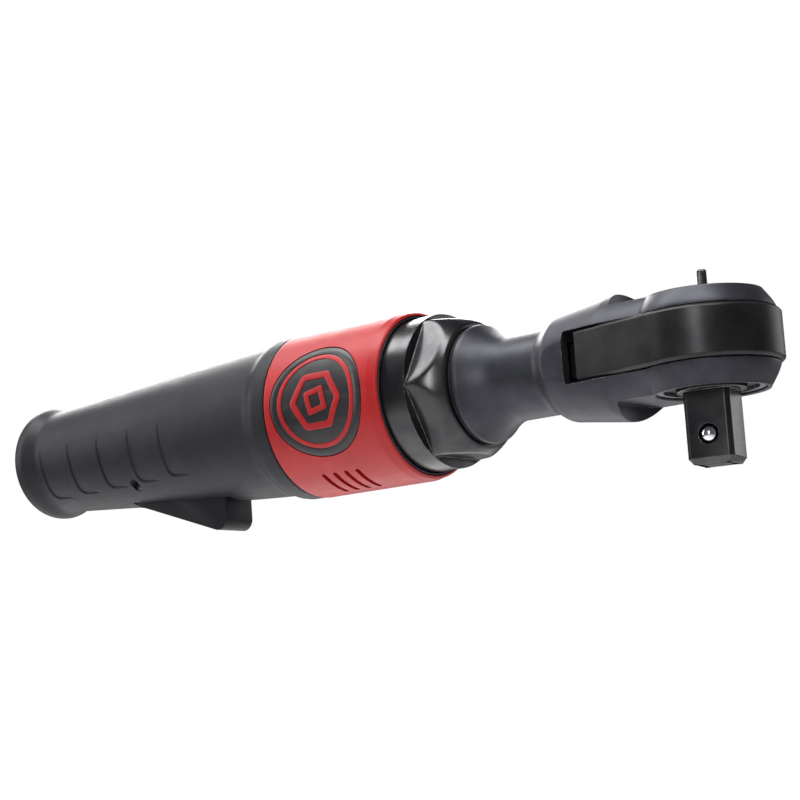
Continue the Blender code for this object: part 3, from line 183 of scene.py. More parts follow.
def lathe_z(name, profile, columns=192, solid_core=False):
    """Turns a (radius, z) outline about the square drive's axis."""
    angles = np.linspace(0, 2 * pi, columns, endpoint=False)
    radius, angle = np.meshgrid(profile[:, 0], angles, indexing="ij")
    z = np.repeat(profile[:, 1][:, None], columns, axis=1)
    points = np.stack((radius * np.cos(angle), radius * np.sin(angle), z), -1)
    faces = capped(len(profile), columns) if solid_core else grid_faces(len(profile), columns)
    return solid(name, points, faces)


def rod(name, start, end, radius, columns=64):
    start, end = np.array(start, float), np.array(end, float)
    along = (end - start) / np.linalg.norm(end - start)
    side = np.cross(along, (0, 0, 1) if abs(along[2]) < 0.9 else (1, 0, 0))
    side /= np.linalg.norm(side)
    other = np.cross(along, side)
    turn = np.linspace(0, 2 * pi, columns, endpoint=False)[:, None]
    loop = radius * (np.cos(turn) * side + np.sin(turn) * other)
    return solid(name, np.stack((start + loop, end + loop)), capped(2, columns))


def block(name, low, high):
    corners = [(low[0], low[1]), (high[0], low[1]), (high[0], high[1]), (low[0], high[1])]
    points = [(a, b, low[2]) for a, b in corners] + [(a, b, high[2]) for a, b in corners]
    return solid(name, points, capped(2, 4))


def plate(name, outline, rim):
    """A flat piece. outline(inset) gives its edge and rim its (inset, z) side, bottom to top."""
    loops = [[(a, b, z) for a, b in outline(inset)] for inset, z in rim]
    return solid(name, loops, capped(len(loops), len(loops[0])))


def turned_z(made, angle):
    """Turns a finished mesh about the square drive's axis."""
    made.data.transform(Matrix.Rotation(angle, 4, "Z"))
    return made


def carve(made, *others, operation="DIFFERENCE"):
    """Cuts, joins or intersects with the others, which are used up."""
    for other in others:
        modifier = made.modifiers.new("carve", "BOOLEAN")
        modifier.operation = operation
        modifier.solver = "MANIFOLD"
        modifier.object = other
    graph = bpy.context.evaluated_depsgraph_get()
    mesh = bpy.data.meshes.new_from_object(made.evaluated_get(graph))
    made.modifiers.clear()
    made.data = mesh
    for other in others:
        bpy.data.objects.remove(other)
    return made


def joined(made, *others):
    return carve(made, *others, operation="UNION")


def applied(made, kind, **settings):
    """Adds a modifier, applies it and leaves the result as the object's mesh."""
    modifier = made.modifiers.new(kind.lower(), kind)
    for key, value in settings.items():
        setattr(modifier, key, value)
    graph = bpy.context.evaluated_depsgraph_get()
    mesh = bpy.data.meshes.new_from_object(made.evaluated_get(graph))
    made.modifiers.clear()
    made.data = mesh
    return made


def show(made, body, material, nodes=(), crease=32):
    """Finishes a piece: smooth shading with sharp creases, its material, body and CAD nodes."""
    mesh = made.data
    mesh.materials.clear()
    mesh.materials.append(material)
    mesh.polygons.foreach_set("use_smooth", np.ones(len(mesh.polygons), bool))
    mesh.polygons.foreach_set("material_index", np.zeros(len(mesh.polygons), np.int32))
    mesh.set_sharp_from_angle(angle=radians(crease))
    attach(made, body)
    if nodes:
        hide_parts(*nodes)
    return made


# ---------------------------------------------------------------- materials


class Recipe:
    """Builds one procedural material. Lengths in it are in millimetres."""

    def __init__(self, name, metallic=0.0, specular=0.5):
        self.material = bpy.data.materials.new(name)
        self.material.use_nodes = True
        self.tree = self.material.node_tree
        self.shader = self.tree.nodes["Principled BSDF"]
        self.shader.inputs["Metallic"].default_value = metallic
        self.shader.inputs["IOR"].default_value = 1.5
        self.shader.inputs["Specular IOR Level"].default_value = specular
        self.coords = self.node("ShaderNodeTexCoord").outputs["Object"]

    def node(self, kind, **settings):
        made = self.tree.nodes.new(kind)
        for key, value in settings.items():
            setattr(made, key, value)
        return made

    def wire(self, source, target):
        self.tree.links.new(source, target)

    def noise(self, size, detail=4.0, stretch=(1, 1, 1)):
        """Noise with features about size millimetres across, longer where stretch is above 1."""
        mapping = self.node("ShaderNodeMapping")
        mapping.inputs["Scale"].default_value = [1 / s for s in stretch]
        self.wire(self.coords, mapping.inputs["Vector"])
        made = self.node("ShaderNodeTexNoise")
        made.inputs["Scale"].default_value = 1 / (size * MM)
        made.inputs["Detail"].default_value = detail
        made.inputs["Roughness"].default_value = 0.55
        self.wire(mapping.outputs["Vector"], made.inputs["Vector"])
        return made.outputs["Fac"]

    def ranged(self, value, low, high, out_low=0.0, out_high=1.0):
        made = self.node("ShaderNodeMapRange")
        limits = {"From Min": low, "From Max": high, "To Min": out_low, "To Max": out_high}
        for key, number in limits.items():
            made.inputs[key].default_value = number
        self.wire(value, made.inputs["Value"])
        return made.outputs["Result"]

    def product(self, a, b, operation="MULTIPLY"):
        """Two values multiplied, or combined by another operation. b may be a plain number."""
        made = self.node("ShaderNodeMath", operation=operation, use_clamp=operation == "MULTIPLY")
        self.wire(a, made.inputs[0])
        if isinstance(b, float):
            made.inputs[1].default_value = b
        else:
            self.wire(b, made.inputs[1])
        return made.outputs[0]

    def mix(self, factor, a, b):
        """Two colours mixed. Each is an (r, g, b) or another mix's output."""
        made = self.node("ShaderNodeMix", data_type="RGBA")
        self.wire(factor, made.inputs["Factor"])
        for socket, colour in ((6, a), (7, b)):
            if isinstance(colour, tuple):
                made.inputs[socket].default_value = (*colour, 1)
            else:
                self.wire(colour, made.inputs[socket])
        return made.outputs[2]

    def edges(self, radius, gain):
        """1 at edges and corners sharper than radius, 0 on open faces."""
        soft = self.node("ShaderNodeBevel", samples=4)
        soft.inputs["Radius"].default_value = radius * MM
        facing = self.node("ShaderNodeVectorMath", operation="DOT_PRODUCT")
        self.wire(soft.outputs["Normal"], facing.inputs[0])
        self.wire(self.node("ShaderNodeNewGeometry").outputs["Normal"], facing.inputs[1])
        return self.ranged(facing.outputs["Value"], 1.0, 1.0 - gain)

    def bump(self, *layers, round_edges=0.0):
        """Layers of (height, distance in millimetres, strength)."""
        normal = None
        if round_edges:
            soft = self.node("ShaderNodeBevel", samples=4)
            soft.inputs["Radius"].default_value = round_edges * MM
            normal = soft.outputs["Normal"]
        for height, distance, strength in layers:
            made = self.node("ShaderNodeBump")
            made.inputs["Strength"].default_value = strength
            made.inputs["Distance"].default_value = distance * MM
            self.wire(height, made.inputs["Height"])
            if normal is not None:
                self.wire(normal, made.inputs["Normal"])
            normal = made.outputs["Normal"]
        self.wire(normal, self.shader.inputs["Normal"])

    def colour(self, source):
        self.wire(source, self.shader.inputs["Base Color"])

    def rough(self, value, low, high):
        self.wire(self.ranged(value, 0.3, 0.7, low, high), self.shader.inputs["Roughness"])


def moulded(name, dark, light, low, high, grain=0.35, wear=None, height=0.05, specular=0.5):
    """Moulded plastic or rubber with a fine grain, scuffs and dust."""
    made = Recipe(name, specular=specular)
    cloud = made.noise(14, detail=5)
    scuff = made.noise(2.2, detail=6, stretch=(3, 1, 1))
    fine = made.noise(grain, detail=3)
    body = made.mix(made.ranged(cloud, 0.35, 0.65), dark, light)
    if wear:
        dusty = made.product(made.ranged(scuff, 0.56, 0.78), 0.55)
        body = made.mix(dusty, body, wear)
    made.colour(body)
    made.rough(scuff, low, high)
    made.bump((fine, height, 0.5), (made.noise(5, detail=3), 0.12, 0.12))
    return made.material


def forged(name, dark, light, low, high, metallic, edge, brushed=None):
    """Steel with a chemical black or phosphate finish, worn bright on its edges."""
    edge_round = 0.35
    made = Recipe(name, metallic=metallic)
    cloud = made.noise(9, detail=6)
    fine = made.noise(0.5, detail=4)
    scratch = made.noise(1.4, detail=5, stretch=brushed or (6, 1, 1))
    body = made.mix(made.ranged(cloud, 0.36, 0.64), dark, light)
    patches = made.ranged(made.noise(1.8, detail=5), 0.42, 0.62)
    rubbed = made.product(made.edges(edge_round, 0.35), patches)
    made.colour(made.mix(rubbed, body, edge))
    made.rough(made.product(cloud, scratch, operation="ADD"), low, high)
    lines = (scratch, 0.03, 0.35) if brushed else (scratch, 0.012, 0.2)
    made.bump((fine, 0.04, 0.35), lines, round_edges=edge_round)
    return made.material


def metal(name, dark, light, low, high, stretch=(1, 1, 1), height=0.02):
    """Bare metal with fine tool marks and a thin oil film."""
    made = Recipe(name, metallic=1.0)
    cloud = made.noise(4, detail=5)
    marks = made.noise(0.5, detail=4, stretch=stretch)
    made.colour(made.mix(made.ranged(cloud, 0.35, 0.65), dark, light))
    made.rough(marks, low, high)
    made.bump((marks, height, 0.4))
    return made.material


RUBBER = moulded(
    "rubber",
    dark=(0.012, 0.0122, 0.015),
    light=(0.018, 0.0184, 0.022),
    low=0.46,
    high=0.54,
    wear=(0.028, 0.028, 0.032),
    specular=0.28,
)
LEVER = moulded(
    "lever_plastic",
    dark=(0.009, 0.009, 0.011),
    light=(0.014, 0.014, 0.017),
    low=0.42,
    high=0.5,
    wear=(0.022, 0.022, 0.025),
    specular=0.25,
)
RED = moulded(
    "red_plastic",
    dark=(0.36, 0.006, 0.008),
    light=(0.43, 0.010, 0.011),
    low=0.38,
    high=0.48,
    wear=(0.46, 0.024, 0.022),
    specular=0.4,
)
BADGE = moulded(
    "badge_plastic",
    dark=(0.012, 0.012, 0.013),
    light=(0.022, 0.022, 0.024),
    low=0.3,
    high=0.42,
    wear=(0.05, 0.05, 0.052),
)
NUT = forged(
    "black_steel",
    dark=(0.050, 0.050, 0.055),
    light=(0.085, 0.083, 0.082),
    low=0.14,
    high=0.25,
    metallic=0.9,
    edge=(0.35, 0.35, 0.36),
)
HEAD = forged(
    "dark_steel",
    dark=(0.031, 0.032, 0.040),
    light=(0.050, 0.051, 0.061),
    low=0.3,
    high=0.44,
    metallic=0.6,
    edge=(0.26, 0.27, 0.29),
)
YOKE = forged(
    "dark_steel_brushed",
    dark=(0.022, 0.022, 0.024),
    light=(0.038, 0.037, 0.037),
    low=0.24,
    high=0.36,
    metallic=0.7,
    edge=(0.2, 0.2, 0.21),
    brushed=(5, 5, 0.5),
)
STEEL = metal("steel", (0.42, 0.43, 0.45), (0.56, 0.57, 0.59), 0.22, 0.36, stretch=(0.3, 4, 4))
SPRING = metal("spring_steel", (0.16, 0.16, 0.17), (0.26, 0.26, 0.27), 0.25, 0.4)
CHROME = metal("chrome", (0.72, 0.73, 0.75), (0.82, 0.83, 0.85), 0.08, 0.16, height=0.004)
ALUMINIUM = metal("aluminium", (0.5, 0.51, 0.53), (0.62, 0.63, 0.65), 0.34, 0.5)
BRONZE = metal("bronze", (0.3, 0.19, 0.08), (0.42, 0.27, 0.12), 0.34, 0.5)
BRASS = metal("brass", (0.5, 0.37, 0.14), (0.62, 0.47, 0.2), 0.28, 0.42)
PHENOLIC = moulded(
    "phenolic", (0.2, 0.09, 0.035), (0.28, 0.14, 0.06), 0.5, 0.66, wear=(0.34, 0.2, 0.1)
)
FELT = moulded("felt", (0.16, 0.15, 0.135), (0.26, 0.245, 0.22), 0.9, 1.0, grain=0.6, height=0.4)
SEAL = moulded("seal_rubber", (0.010, 0.010, 0.010), (0.018, 0.018, 0.019), 0.5, 0.66)

SLOTS = {
    "rubber": RUBBER,
    "lever_plastic": LEVER,
    "red_plastic": RED,
    "badge_plastic": BADGE,
    "black_steel": NUT,
    "dark_steel": HEAD,
    "steel": STEEL,
    "spring_steel": SPRING,
    "chrome": CHROME,
    "aluminium": ALUMINIUM,
    "bronze": BRONZE,
    "brass": BRASS,
    "phenolic": PHENOLIC,
    "felt": FELT,
    "seal_rubber": SEAL,
}

CAD_CREASE = 28

for entry in frame["record"]["subparts"]:
    node = frame["nodes"][entry["node"]]
    node.data.materials.clear()
    node.data.materials.append(SLOTS[entry["material_slot"]])
    node.data.polygons.foreach_set("use_smooth", np.ones(len(node.data.polygons), bool))
    node.data.set_sharp_from_angle(angle=radians(CAD_CREASE))

# ---------------------------------------------------------------- grip

GRIP_BACK, WAIST, RAMP_BACK = -252.4, -242.4, -146.0
RAMP_FRONT, GRIP_FRONT = -141.0, -136.2
CREST, WAIST_RADIUS, RAMP_RADIUS, COLLAR = 18.25, 16.6, 22.9, 24.6
LIP, LIP_ROUND = 5.0, 3.0
GROOVES = (-240.0, -226.3, -212.0, -197.3, -183.0)
GROOVE_RUN = 8.6
GROOVE_FLOOR = -13.4  # height of a groove's forward run
GROOVE_DEPTH = 0.42
GROOVE_CORNER = 2.6
GRIP_WALL, GRIP_BORE = 2.3, 22.2  # behind the ramp, and ahead of it
PIN_X, PIN_Z = -200.0, -13.7


def grip_radius(x):
    """Outer radius of the grip at a place along the axis."""
    t = (x - WAIST) / (RAMP_BACK - WAIST)
    taper = WAIST_RADIUS + (RAMP_RADIUS - WAIST_RADIUS) * (t + 0.35 * t * t * (1 - t))
    s = (x - GRIP_BACK - LIP) / (WAIST - GRIP_BACK - LIP)
    lip = CREST - (CREST - WAIST_RADIUS) * smooth(s)
    ramp = RAMP_RADIUS + (COLLAR - RAMP_RADIUS) * smooth((x - RAMP_BACK) / (RAMP_FRONT - RAMP_BACK))
    return np.where(x < WAIST, lip, np.where(x < RAMP_BACK, taper, ramp))


def groove_depth(x, angle):
    """Depth of the scale-like finger steps at a point on either side of the grip."""
    side = np.where(np.cos(angle) >= 0, angle, pi - angle)
    side = (side + pi) % (2 * pi) - pi
    depth = np.zeros_like(x)
    for line in GROOVES:
        local = grip_radius(np.full_like(x, line + 3))
        floor = np.arcsin(np.clip(GROOVE_FLOOR / local, -1, 1))
        ahead = x - line
        above = (side - floor) * local
        dx, dy = np.maximum(GROOVE_CORNER - ahead, 0), np.maximum(GROOVE_CORNER - above, 0)
        rounded = GROOVE_CORNER - np.hypot(dx, dy)
        edge = np.where((dx > 0) & (dy > 0), rounded, np.minimum(ahead, above))
        wall = smooth(edge / 0.32)
        run = np.clip(1 - ahead / GROOVE_RUN, 0, 1)
        fade = smooth((radians(13) - side) * local / 9.0)
        line_depth = 0.3 * np.exp(-(((edge - 0.2) / 0.26) ** 2))
        line_depth *= smooth((GROOVE_RUN - ahead) / 1.5)
        depth = np.maximum(depth, (GROOVE_DEPTH * wall * run + line_depth) * fade)
    return depth


def grip_columns():
    """Angles round the grip, closer together where the grooves turn forward."""
    fine = np.arange(radians(-66), radians(-32), radians(0.45))
    fine = np.concatenate((fine, pi - fine))
    plain = np.arange(0, 2 * pi, radians(2.0))
    near = np.min(np.abs((plain[:, None] - fine[None, :] + pi) % (2 * pi) - pi), axis=1)
    return np.unique(np.round(np.concatenate((plain[near > radians(0.9)], fine)) % (2 * pi), 6))


def make_grip():
    lip = [
        (GRIP_BACK + LIP * (1 - cos(a)), CREST - LIP_ROUND * (1 - sin(a)))
        for a in np.linspace(0, pi / 2, 12)
    ]
    xs = set(np.arange(GRIP_BACK + LIP + 0.8, GRIP_FRONT - 0.6, 1.1).tolist())
    for line in GROOVES:
        xs |= set(np.arange(line - 0.3, line + 0.7, 0.11).tolist())
        xs |= set(np.arange(line + 0.7, line + 3.2, 0.35).tolist())
    xs = sorted(xs)
    xs = [x for k, x in enumerate(xs) if k == 0 or x - xs[k - 1] > 0.06]
    body = [(x, float(grip_radius(np.array(x)))) for x in xs]
    front = [
        (GRIP_FRONT - 0.5 + 0.5 * sin(a), COLLAR - 0.5 * (1 - cos(a)))
        for a in np.linspace(0, pi / 2, 6)
    ]
    inner_xs = np.linspace(RAMP_BACK, WAIST, 24)
    inner = [(GRIP_FRONT, GRIP_BORE), (RAMP_FRONT, GRIP_BORE)]
    inner += [(x, float(grip_radius(np.array(x - 1e-6))) - GRIP_WALL) for x in inner_xs]
    mouth = float(grip_radius(np.array(WAIST))) - GRIP_WALL
    inner += [(GRIP_BACK + 0.5, mouth), (GRIP_BACK + 0.12, mouth + 0.15), (GRIP_BACK, mouth + 0.5)]
    outer = np.array(lip + body + front)
    profile = np.concatenate((outer, np.array(inner)))
    last_outer = len(lip) + len(body)

    def shape(x, radius, angle):
        depth = groove_depth(x, angle)
        depth[last_outer:] = 0
        depth[: len(lip)] = 0
        return radius - depth

    made = lathe_x("grip", profile, grip_columns(), shape)
    slot = block("slot", (PIN_X - 9.5, -6.3, -40), (PIN_X + 32.4, 6.3, -9.7))
    slot = applied(slot, "BEVEL", width=0.8 * MM, segments=4, limit_method="ANGLE")
    hole = rod("hole", (PIN_X, -30, PIN_Z), (PIN_X, 30, PIN_Z), 1.8)
    carve(made, slot, hole)
    show(made, "tool_body", RUBBER, ["grip_cover"], crease=40)


# ---------------------------------------------------------------- sleeve and badge

SLEEVE_BACK, SLEEVE_FRONT, SLEEVE = -135.7, -93.6, 24.8
BADGE_X, BADGE_RADIUS = -116.0, 17.0
VENTS = (-110.5, -114.7, -118.9, -123.1)
VENT_HALF, VENT_SPREAD = 0.8, radians(28)
VENT_MIDDLES = (radians(-68), radians(-112))
VENT_CUT = (21.0, 26.5)  # the cutters' lowest and highest radius


def wrapped(rho, phi, height):
    """Points of a flat pattern bent round the sleeve, facing -Y."""
    turn = rho * np.sin(phi) / SLEEVE
    return np.stack((BADGE_X + rho * np.cos(phi), -height * np.cos(turn), height * np.sin(turn)), -1)


def wrapped_ring(name, inner, outer, low, high, rounding=0.12, columns=240):
    """A band of the badge. inner and outer give its edges' distance from the centre at each angle."""
    phi = np.linspace(0, 2 * pi, columns, endpoint=False)
    rho_in, rho_out = inner(phi), outer(phi)
    across = [(0, low), (0, high - rounding), (0.3, high - 0.3 * rounding), (1, high)]
    rows = []
    for step, height in across:
        rows.append((rho_in + step * rounding, height))
    for share in (0.35, 0.65):
        rows.append((rho_in + (rho_out - rho_in) * share, high))
    for step, height in across[::-1]:
        rows.append((rho_out - step * rounding, height))
    points = np.stack([wrapped(rho, phi, np.full_like(phi, height)) for rho, height in rows])
    return solid(name, points, grid_faces(len(rows), columns))


def wrapped_plate(name, rim, columns=240):
    """A round part of the badge, from its rim's (distance from the centre, height) points."""
    phi = np.linspace(0, 2 * pi, columns, endpoint=False)
    ones = np.ones_like(phi)
    points = np.stack([wrapped(rho * ones, phi, height * ones) for rho, height in rim])
    return solid(name, points, capped(len(rim), columns))


def even(radius):
    """A circle, in the form of many_sided."""
    return lambda phi: np.full_like(phi, radius)


def many_sided(apothem, sides, turn=0.0, corner=0.0):
    """Distance of a polygon's edge from its centre at each angle, with softened corners."""
    half = pi / sides

    def edge(phi):
        local = (phi - turn + half) % (2 * half) - half
        sharp = apothem / np.cos(local)
        return np.minimum(sharp, apothem / cos(half) - corner)

    return edge


def make_sleeve():
    outline = [
        (SLEEVE_BACK, 22.2, 0.1),
        (SLEEVE_BACK, SLEEVE, 0.5),
        (SLEEVE_FRONT - 3.2, SLEEVE, 2.0),
        (SLEEVE_FRONT - 0.5, SLEEVE - 0.55, 0.7),
        (SLEEVE_FRONT, SLEEVE - 1.2, 0.3),
        (SLEEVE_FRONT - 0.1, 23.45, 0.1),
        (-97.9, 23.45, 0.1),
        (-97.9, 22.2, 0.1),
    ]
    profile = dense(filleted(outline, steps=6), 0.9)
    made = lathe_x("sleeve", profile, 360)
    floor, above, edge = SLEEVE - 0.75, SLEEVE + 2, BADGE_RADIUS + 0.3
    rim = [(0.05, floor)] + [(r, floor) for r in np.linspace(2, edge, 12)]
    rim += [(r, above) for r in np.linspace(edge, 2, 12)] + [(0.05, above)]
    recess = wrapped_plate("recess", rim)
    slits = []
    for x in VENTS:
        for middle in VENT_MIDDLES:
            turns = np.linspace(middle - VENT_SPREAD / 2, middle + VENT_SPREAD / 2, 40)
            from_end = np.minimum(turns - turns[0], turns[-1] - turns) * SLEEVE
            missing = np.maximum(VENT_HALF - from_end, 0)
            halves = np.sqrt(np.maximum(VENT_HALF**2 - missing**2, 0.01))
            rows = []
            for angle, half in zip(turns, halves):
                low, high = VENT_CUT
                corners = ((-half, low), (half, low), (half, high), (-half, high))
                rows.append([about_x(x + dx, radius, angle) for dx, radius in corners])
            slits.append(solid("slit", np.array(rows), capped(len(rows), 4)))
    carve(made, recess)
    for slit in slits:
        carve(made, slit)
    show(made, "tool_body", RED, ["motor_sleeve"])


def make_badge():
    """A plain round badge: dark rim and face, and a red hexagon nut with a square in it."""
    base, top = SLEEVE - 0.45, SLEEVE - 0.02
    rim = [(0.05, base)] + [(r, base) for r in np.linspace(2, BADGE_RADIUS, 12)]
    rim += [(BADGE_RADIUS, top - 0.15), (BADGE_RADIUS - 0.1, top - 0.03), (BADGE_RADIUS - 0.2, top)]
    rim += [(14.7, top), (14.6, top - 0.05), (14.5, top - 0.2)]
    rim += [(r, top - 0.2) for r in np.linspace(13, 2, 10)] + [(0.05, top - 0.2)]
    face = wrapped_plate("badge_face", rim)
    show(face, "tool_body", BADGE, ["sleeve_badge"])
    low, high = base + 0.1, top - 0.01
    bands = {
        "badge_ring": (even(12.9), even(14.35)),
        "badge_hexagon": (many_sided(6.4, 6, pi / 6, 0.2), many_sided(8.4, 6, pi / 6, 0.35)),
        "badge_square": (many_sided(1.9, 4, radians(12), 0.1), many_sided(3.6, 4, radians(12), 0.3)),
    }
    for name, (inner, outer) in bands.items():
        band = wrapped_ring(name, inner, outer, low, high)
        show(band, "tool_body", RED)


def make_end_ring():
    outline = [(-97.3, 22.75, 0.1), (-93.5, 22.75, 0.1), (-93.5, 23.15, 0.15), (-97.3, 23.15, 0.1)]
    made = lathe_x("sleeve_rim_ring", filleted(outline), 300)
    show(made, "tool_body", HEAD, ["sleeve_end_ring"])


# ---------------------------------------------------------------- nut and seal

NUT_BACK, FLATS_BACK, NUT_FRONT = -97.3, -85.0, -73.9
NUT_RADIUS, NUT_NOSE, FLAT = 22.4, 18.0, 19.4
NUT_BACK_BORE, NUT_FRONT_BORE = 19.8, 16.6
NOSE_LENGTH = 10.6
FLAT_EDGE_STEPS = (-0.4, -0.25, -0.15, -0.05, 0.05, 0.15, 0.25)  # rows where the flats begin


def make_nut():
    outline = [(NUT_BACK, NUT_BACK_BORE, 0.1), (NUT_BACK, NUT_RADIUS, 0.7)]
    outline += [(FLATS_BACK + dx, NUT_RADIUS, 0) for dx in FLAT_EDGE_STEPS]
    nose = [
        (NUT_FRONT - NOSE_LENGTH * t, NUT_NOSE + (NUT_RADIUS - NUT_NOSE) * (1 - (1 - t) ** 2), 0)
        for t in np.linspace(1, 0.03, 34)
    ]
    outline += nose + [(NUT_FRONT, NUT_NOSE - 0.3, 0.2), (NUT_FRONT, NUT_FRONT_BORE, 0.2)]
    outline += [(-86.0, NUT_FRONT_BORE, 0.1), (-86.0, NUT_BACK_BORE, 0.1)]
    profile = dense(filleted(outline), 0.45)

    def shape(x, radius, angle):
        """The turned outline cut by the flats, except behind them and in the bore."""
        bored = 17.0  # what lies within this radius is bore or end face, and stays round
        local = (angle + pi / 3) % (pi / 3) - pi / 6
        hexagon = FLAT / np.cos(local)
        open_to = smooth((x - FLATS_BACK + 0.28) / 0.5)
        limit = hexagon + (NUT_RADIUS + 3 - hexagon) * (1 - open_to)
        blend = 0.22
        lower = np.minimum(radius, limit)
        soft = blend * np.log(1 + np.exp(-np.abs(radius - limit) / blend))
        return np.where(radius > bored, np.maximum(lower - soft, bored + 0.1), radius)

    made = lathe_x("coupling_nut_body", profile, 540, shape)
    show(made, "tool_body", NUT, ["coupling_nut"], crease=38)


def make_seal():
    outline = [(-73.6, 16.6, 0.1), (-73.6, 16.8, 0.1), (-73.2, 16.8, 0.1), (-73.2, 16.6, 0.1)]
    made = lathe_x("seal_ring", filleted(outline, steps=8), 240)
    show(made, "tool_body", SEAL, ["head_seal"])


# ---------------------------------------------------------------- ratchet head

EAR_LOW, EAR_HIGH, SLOT_LOW, SLOT_HIGH = -13.1, 13.0, -6.8, 7.8
EAR_RADIUS, EAR_TAPER, YOKE_RADIUS, DRUM, TOP_JOURNAL = 18.9, 3.3, 20.1, 13.0, 8.6
BODY_FRONT, CHEEK_HALF, CHEEK_ANGLE = -8.0, 17.2, radians(4.25)
HEAD_BACK, SPIGOT, NECK, SHOULDER = -86.3, 16.3, 12.1, 17.5
CONE_BACK, CONE_LENGTH, FLARE_BACK, FLARE_LENGTH = -71.5, 10.5, -48.7, 6.5
CARRIER_BORE, CARRIER_BORE_END, CRANK_BORE = 14.3, -77.7, 9.9
TAIL_ROOM = (-46.0, 12.0, 5.4)  # its back, half width and half height
VOXEL = 0.42 * MM
DRIVE_TURN, THUMB_TURN, KNOB_TURN = radians(12.6), radians(69.4), radians(38)
SQUARE_HALF, BALL_RADIUS, BALL_OUT, BALL_Z = 6.35, 2.35, -4.9, -24.7


def head_outline(radius, x_back, half_back, inset, steps=160):
    """A round end about the drive's axis with sides running back to a flat tail."""
    reach = hypot(x_back, half_back - inset)
    tangent = atan2(half_back - inset, x_back) - acos((radius - inset) / reach)
    points = arc(radius - inset, -tangent, tangent, steps)
    side_steps = 24
    back, mirror = (x_back, half_back - inset), (x_back, inset - half_back)
    near_side = between(points[-1], back, side_steps)[1:]
    far_side = between(mirror, points[0], side_steps)
    return points + near_side + [back] + far_side


def chamfered_rim(low, high, chamfer, rise, softness):
    """The (inset, z) side of a plate with chamfered, slightly rounded rims."""
    side = [
        (chamfer + 1.5, low, 0),
        (chamfer, low, softness),
        (0, low + rise, softness),
        (0, high - rise, softness),
        (chamfer, high, softness),
        (chamfer + 1.5, high, 0),
    ]
    return filleted(side, steps=4, closed=False)


def ear(slot, end):
    """The tapering (radius, z) side of an ear, from the yoke's slot to the ear's end."""
    return [
        (EAR_RADIUS - EAR_TAPER * t**1.3, slot + (end - slot) * t) for t in np.linspace(0, 1, 14)
    ]


def make_head():
    cone = [
        (CONE_BACK + CONE_LENGTH * t, NECK + 5.0 * (1 - t) ** 1.7) for t in np.linspace(0, 1, 26)
    ]
    flare = [
        (FLARE_BACK + FLARE_LENGTH * t, NECK + 3.1 * float(smooth(t)))
        for t in np.linspace(0.02, 1, 22)
    ]
    profile = [(HEAD_BACK, 0.2), (HEAD_BACK, SPIGOT), (-72.9, SPIGOT), (-72.9, 16.8), (-72.65, 17.1)]
    profile += cone + flare + [(-25.6, SHOULDER), (BODY_FRONT, SHOULDER), (BODY_FRONT, 0.2)]
    profile = dense(np.array(profile), 0.8, closed=False)
    made = lathe_x("ratchet_head", profile, 240, solid_core=True)
    for side in (-1, 1):
        xs = (-49.7, BODY_FRONT + 1)
        line = [(x, side * (CHEEK_HALF + (x - BODY_FRONT) * tan(CHEEK_ANGLE))) for x in xs]
        beyond = [(x, side * 40) for x in xs[::-1]]
        carve(made, plate("flat", lambda inset: line + beyond, [(0, -40), (0, 40)]))
    tip = EAR_RADIUS - EAR_TAPER
    side = [(0.3, EAR_LOW - 1), (tip, EAR_LOW - 1)] + ear(SLOT_LOW, EAR_LOW)[::-1]
    side += ear(SLOT_HIGH, EAR_HIGH) + [(tip, EAR_HIGH + 1), (0.3, EAR_HIGH + 1)]
    joined(made, lathe_z("round_end", np.array(side), 256, solid_core=True))
    applied(made, "REMESH", mode="VOXEL", voxel_size=VOXEL, adaptivity=0.0)
    applied(made, "SMOOTH", factor=0.5, iterations=5)

    over = [(0.5, EAR_HIGH), (25.1, EAR_HIGH), (25.1, 40), (0.5, 40)]
    under = [(0.5, -40), (25.1, -40), (25.1, EAR_LOW), (0.5, EAR_LOW)]
    window = block("window", (-36.4, -40, SLOT_LOW), (40, 40, SLOT_HIGH))
    window = applied(window, "BEVEL", width=0.5 * MM, segments=3, limit_method="ANGLE")
    back, half, half_height = TAIL_ROOM
    bore = [(HEAD_BACK - 0.3, 0.2), (HEAD_BACK - 0.3, CARRIER_BORE)]
    bore += [(CARRIER_BORE_END, CARRIER_BORE), (CARRIER_BORE_END, CRANK_BORE)]
    bore += [(back + 1, CRANK_BORE), (back + 1, 0.2)]
    edge = [(0.5, -14.1), (15.9, -14.1), (14.6, -12.8), (0.5, -12.8)]
    cutters = [
        lathe_z("over", np.array(over), solid_core=True),
        lathe_z("under", np.array(under), solid_core=True),
        window,
        block("tail_room", (back, -half, -half_height), (-34, half, half_height)),
        lathe_x("crank_bore", np.array(bore), 96, solid_core=True),
        rod("lower_bore", (0, 0, EAR_LOW - 2), (0, 0, SLOT_LOW + 1), 14.65, 160),
        lathe_z("lower_edge", np.array(edge), solid_core=True),
        rod("groove", (0, 0, -12.55), (0, 0, -11.55), 15.25, 160),
        rod("upper_bore", (0, 0, SLOT_HIGH - 1), (0, 0, EAR_HIGH + 1), 10.25, 128),
    ]
    for cutter in cutters:
        carve(made, cutter)
    show(made, "tool_body", HEAD, ["ratchet_housing"], crease=34)


